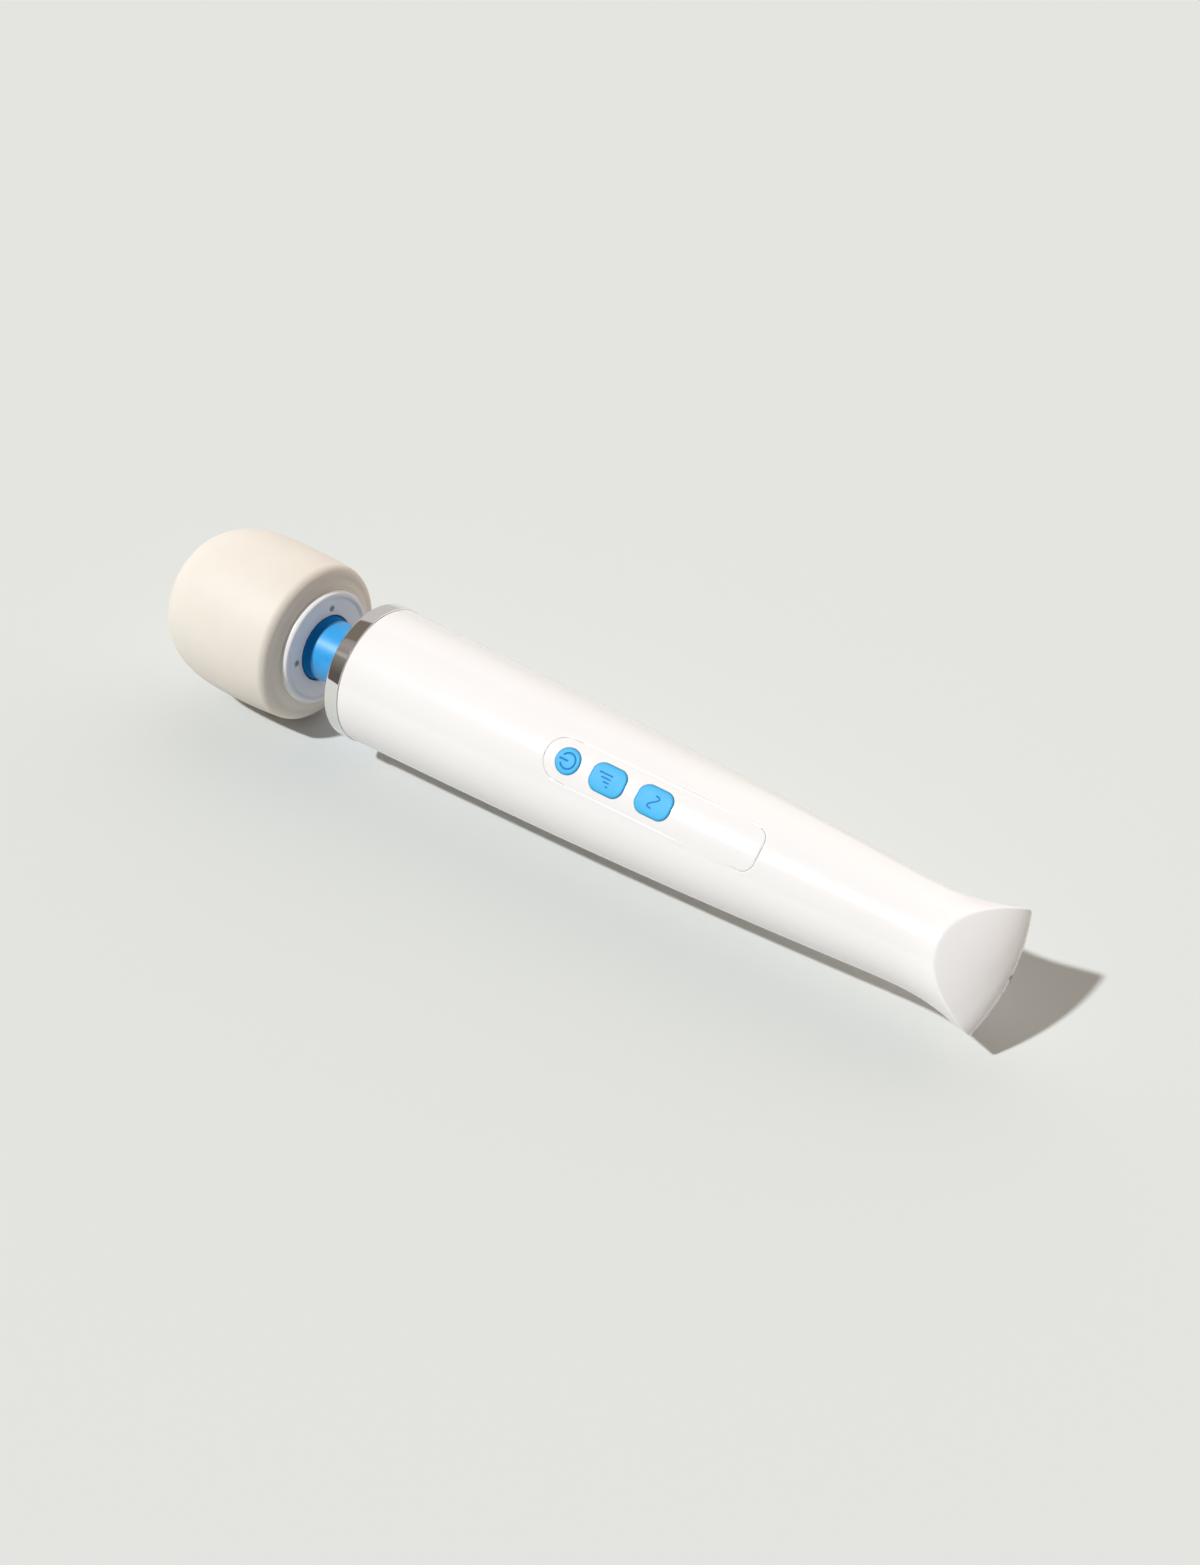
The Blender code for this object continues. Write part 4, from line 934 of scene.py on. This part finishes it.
def panel_sheet(name):
    """The panel as a sheet that follows the handle, with a rounded upper edge."""
    edge, depth = 0.6, 0.17  # width and drop of the rounded edge
    columns, cells = 150, 24
    x0, x1 = PANEL_X0, PANEL_X1
    # columns bunch up towards both rounded ends
    t = np.linspace(0, math.pi, columns)
    xs = (x0 + (x1 - x0) * (0.5 - 0.5 * np.cos(t)) * 0.35
          + (x1 - x0) * np.linspace(0, 1, columns) * 0.65)
    xs[0], xs[-1] = x0, x1
    upper, lower = [], []
    for x in xs:
        width = max(panel_half_width(x), 0.35)
        for k in range(cells + 1):
            y = width * math.sin(math.pi * (k / cells - 0.5))
            inset = min(width - abs(y), x - x0, x1 - x)
            drop = 0.0
            if inset < edge:
                drop = depth * (1 - math.sqrt(max(1 - (1 - inset / edge) ** 2, 0.0)))
            upper.append(on_skin(x, y, PANEL_TOP - drop))
            lower.append(on_skin(x, y, PANEL_BOTTOM))
    row, low = cells + 1, len(upper)
    faces = []
    for i in range(columns - 1):
        a, b = i * row, (i + 1) * row
        for k in range(cells):
            faces.append([a + k, b + k, b + k + 1, a + k + 1])
            faces.append([low + a + k, low + a + k + 1, low + b + k + 1, low + b + k])
        for k in (0, cells):
            faces.append([a + k, b + k, low + b + k, low + a + k])
    for i in (0, columns - 1):
        a = i * row
        for k in range(cells):
            faces.append([a + k, a + k + 1, low + a + k + 1, low + a + k])
    return add_mesh(name, upper + lower, faces, (SHELL,))


def control_panel():
    panel = panel_sheet("panel_inlay")
    openings = []
    for name, x_mid, _, _, outline, _, _ in KEYS:
        skin_z = handle_radius(x_mid)
        loops = [[(x, y, skin_z - 6) for x, y in outline(0.11)],
                 [on_skin(x, y, -0.2) for x, y in outline(0.11)],
                 [on_skin(x, y, 0.0) for x, y in outline(0.26)],
                 [(x, y, skin_z + 4) for x, y in outline(1.2)]]
        openings.append(lofted(f"cut_open_{name}", loops, (SHELL,)))
    cut(panel, *openings)
    true_normals(panel, offset=PANEL_TOP)
    register(panel, "control_panel", "handle")


def build_key(name, x_mid, half_l, half_w, outline, icon, icon_r):
    def top_z(x, y):
        """The top follows the handle, stands a little proud and dips in the middle."""
        u = min(math.hypot((x - x_mid) / half_l, y / half_w), 1.0)
        return on_skin(x, y, KEY_PROUD)[2] - KEY_DISH * (1 - u * u) ** 2

    skin_z = handle_radius(x_mid)
    # flange, shaft, rounded shoulder, then rings closing in to the centre
    loops = [[(x, y, skin_z - depth) for x, y in outline(grow)]
             for grow, depth in ((KEY_FLANGE, 3.1), (KEY_FLANGE, 2.35), (0.0, 2.3))]
    loops.append([(x, y, top_z(x, y) - 0.62) for x, y in outline(0.0)])
    for k in range(1, 8):
        a = 0.5 * math.pi * k / 7
        loops.append([(x, y, top_z(x, y) - KEY_ROUND * (1 - math.sin(a)))
                      for x, y in outline(-KEY_ROUND * (1 - math.cos(a)))])
    for k in range(1, 15):
        scale = 1 - k / 15
        ring = [(x_mid + (x - x_mid) * scale, y * scale) for x, y in outline(-KEY_ROUND)]
        loops.append([(x, y, top_z(x, y)) for x, y in ring])
    key = lofted(f"key_{name}", loops, (KEY_BLUE, KEY_ICON_DARKER), angle=40)

    # the icon strokes cut grooves whose faces take the darker blue
    tools = [stroke(tool, [(x_mid + dx, dy, top_z(x_mid + dx, dy) + 0.02) for dx, dy in points],
                    icon_r, (KEY_ICON_DARKER,))
             for tool, points in icon().items()]
    cut(key, *tools)
    shade(key.data, 40)
    register(key, f"{name}_button", f"{name}_key")


# ------------------------------------------------------------------ charging port
def port_bezel():
    loops = [[(240.8, y, z) for y, z in port_outline(0.0, 12)]]
    # (depth under the tail surface, growth): the rounded edge
    for depth, grow in ((0.3, 0.0), (0.16, -0.02), (0.07, -0.08), (0.02, -0.17), (0.0, -0.3)):
        loops.append([(tail_x(y, z) - depth, y, z) for y, z in port_outline(grow, 12)])
    for k in range(1, 12):
        scale = 1 - k / 12
        loops.append([(tail_x(y * scale, z * scale), y * scale, z * scale)
                      for y, z in port_outline(-0.3, 12)])
    bezel = lofted("port_trim", loops, (SHELL,))
    cut(bezel, turned("cut_mouth", [(238.0, 0), (238.0, 1.1), (244.9, 1.1), (245.25, 1.2),
                                    (250.0, 1.3), (250.0, 0)], (SHELL,), 64))
    shade(bezel.data, 35)
    register(bezel, "port_bezel", "handle")


# ------------------------------------------------------------------ floor
# the wand lies rolled and slightly tilted on the floor: its plane in wand coordinates
ROLL, TILT = math.radians(44.0), math.radians(1.21)
FLOOR_OFFSET = -31.42  # mm from the wand's origin along the normal
FLOOR_HALF = 6.0  # metres
FLOOR_UP = Vector((-math.sin(TILT), math.sin(ROLL) * math.cos(TILT),
                   math.cos(ROLL) * math.cos(TILT)))
FLOOR_ALONG = (Vector((1, 0, 0)) - FLOOR_UP * FLOOR_UP.x).normalized()
FLOOR_ACROSS = FLOOR_UP.cross(FLOOR_ALONG)


def add_floor():
    """A matt floor that is clear from below."""
    base = Vector(to_frame(*(FLOOR_UP * FLOOR_OFFSET)))
    mesh = bpy.data.meshes.new("floor")
    mesh.from_pydata([base + FLOOR_ALONG * sx * FLOOR_HALF + FLOOR_ACROSS * sy * FLOOR_HALF
                      for sx, sy in ((-1, -1), (1, -1), (1, 1), (-1, 1))], [], [(0, 1, 2, 3)])
    link_object("floor", mesh)
    material = bpy.data.materials.new("m_floor")
    material.use_nodes = True
    tree = material.node_tree
    tree.nodes.remove(tree.nodes["Principled BSDF"])
    matt = add_node(tree, "BsdfDiffuse", {"Color": (0.628, 0.632, 0.618, 1.0)})
    clear = add_node(tree, "BsdfTransparent", {})
    geometry = add_node(tree, "NewGeometry", {})
    mixed = add_node(tree, "MixShader", {
        "Fac": geometry.outputs["Backfacing"], 1: matt.outputs["BSDF"],
        2: clear.outputs["BSDF"],
    })
    connect(tree, tree.nodes["Material Output"], {"Surface": mixed.outputs["Shader"]})
    mesh.materials.append(material)


# ------------------------------------------------------------------ world
BACKDROP_RGB = (228, 229, 224)  # seen by the camera only
SKY_DARK, SKY_LIGHT = (0.085, 0.066, 0.045, 1.0), (1.22, 1.16, 1.08, 1.0)
TAIL_TINT = (0.40, 0.26, 0.16, 1.0)
# the room in reflections: (degrees about the wand from +Z towards +Y, linear colour)
ROOM = (
    (-60, (0.112, 0.10, 0.09)), (-32, (0.112, 0.10, 0.09)), (-17, (0.19, 0.175, 0.155)),
    (-9, (0.24, 0.22, 0.20)), (-6, (0.25, 0.23, 0.21)), (-3, (0.46, 0.42, 0.41)),
    (1, (0.44, 0.40, 0.39)), (4, (0.30, 0.27, 0.26)), (14, (0.37, 0.33, 0.32)),
    (25, (0.34, 0.30, 0.29)), (27, (0.20, 0.17, 0.142)), (66, (0.20, 0.17, 0.142)),
    (69, (0.63, 0.60, 0.595)), (150, (0.63, 0.60, 0.595)),
)


def add_world():
    world = bpy.data.worlds.new("studio")
    bpy.context.scene.world = world
    world.use_nodes = True
    tree = world.node_tree
    direction = add_node(tree, "TexCoord", {}).outputs["Generated"]

    def towards(target, start, end):
        """Rises from 0 to 1 as the ray turns towards target, between two cosines."""
        dot = add_node(tree, "VectorMath", {0: direction, 1: tuple(target)},
                       operation="DOT_PRODUCT")
        return add_node(tree, "MapRange", {
            "Value": dot.outputs["Value"], "From Min": start, "From Max": end,
        }, interpolation_type="SMOOTHSTEP").outputs["Result"]

    def mix(factor, a, b, **settings):
        return add_node(tree, "Mix", {"Factor": factor, "A": a, "B": b}, data_type="RGBA",
                        **settings).outputs["Result"]

    ambient = mix(towards(FLOOR_ACROSS, -0.3, 0.8), SKY_DARK, SKY_LIGHT)
    # the room is dimmer and warmer beyond the tail
    ambient = mix(towards((1.0, 0.0, 0.0), 0.4, 1.0), ambient, TAIL_TINT,
                  blend_type="MULTIPLY")
    path = add_node(tree, "LightPath", {})
    # glossy rays leaving towards the head see ROOM, by their angle about the wand
    axes = add_node(tree, "SeparateXYZ", {"Vector": direction})
    angle = add_node(tree, "Math", {0: axes.outputs["Y"], 1: axes.outputs["Z"]},
                     operation="ARCTAN2")
    turn = add_node(tree, "MapRange", {
        "Value": angle.outputs["Value"], "From Min": -math.pi, "From Max": math.pi,
    })
    room = add_node(tree, "ValToRGB", {"Fac": turn.outputs["Result"]})
    elements = room.color_ramp.elements
    while len(elements) < len(ROOM):
        elements.new(0.5)
    # all positions first, then colours
    for element, (degrees, _) in zip(elements, ROOM):
        element.position = (degrees + 180.0) / 360.0
    for element, (_, rgb) in zip(elements, ROOM):
        element.color = rgb + (1.0,)
    mirrored = add_node(tree, "Math", {
        0: path.outputs["Is Glossy Ray"], 1: towards((-1.0, 0.0, 0.0), 0.3, 0.4),
    }, operation="MULTIPLY")
    ambient = mix(mirrored.outputs["Value"], ambient, room.outputs["Color"])
    colour = mix(path.outputs["Is Camera Ray"], ambient, linear(BACKDROP_RGB))
    connect(tree, tree.nodes["Background"], {"Color": colour, "Strength": 1.0})


# ------------------------------------------------------------------ sun and camera
SUN_RAY = Vector((0.302, -0.094, -0.949))
CAMERA_AT = (387.667, -24.836, 573.771)  # wand coordinates
CAMERA_RIGHT = Vector((0.80404, 0.4516, -0.38675))
CAMERA_DOWN = Vector((0.38841, -0.89143, -0.23341))
CAMERA_AHEAD = Vector((-0.45017, 0.03745, -0.89215))
SENSOR_WIDTH, FOCAL_LENGTH = 36.0, 46.0063898  # mm


def add_sun():
    light = bpy.data.lights.new("key", "SUN")
    light.energy = 3.45
    light.angle = math.radians(3.0)
    light.color = (0.94, 0.985, 1.0)
    sun = link_object("key", light)
    sun.rotation_mode = "QUATERNION"
    sun.rotation_quaternion = SUN_RAY.to_track_quat("-Z", "Y")


def add_camera():
    data = bpy.data.cameras.new("camera")
    data.sensor_fit = "AUTO"
    data.sensor_width = SENSOR_WIDTH
    data.lens = FOCAL_LENGTH
    data.clip_start, data.clip_end = 0.01, 50.0
    camera = link_object("camera", data)
    pose = Matrix((CAMERA_RIGHT, -CAMERA_DOWN, -CAMERA_AHEAD)).transposed().to_4x4()
    pose.translation = Vector(to_frame(*CAMERA_AT))
    camera.matrix_world = pose
    scene = bpy.context.scene
    scene.camera = camera
    scene.view_settings.view_transform = "Standard"
    scene.view_settings.look = "None"


# ------------------------------------------------------------------ build
paint_cad_nodes()
head_cover()
rear_plate()
neck_sleeve()
neck_spring()
drive_shaft()
collar()
handle_face()
shells()
shell_screws()
control_panel()
for key_row in KEYS:
    build_key(*key_row)
port_bezel()
add_floor()
add_world()
add_sun()
add_camera()
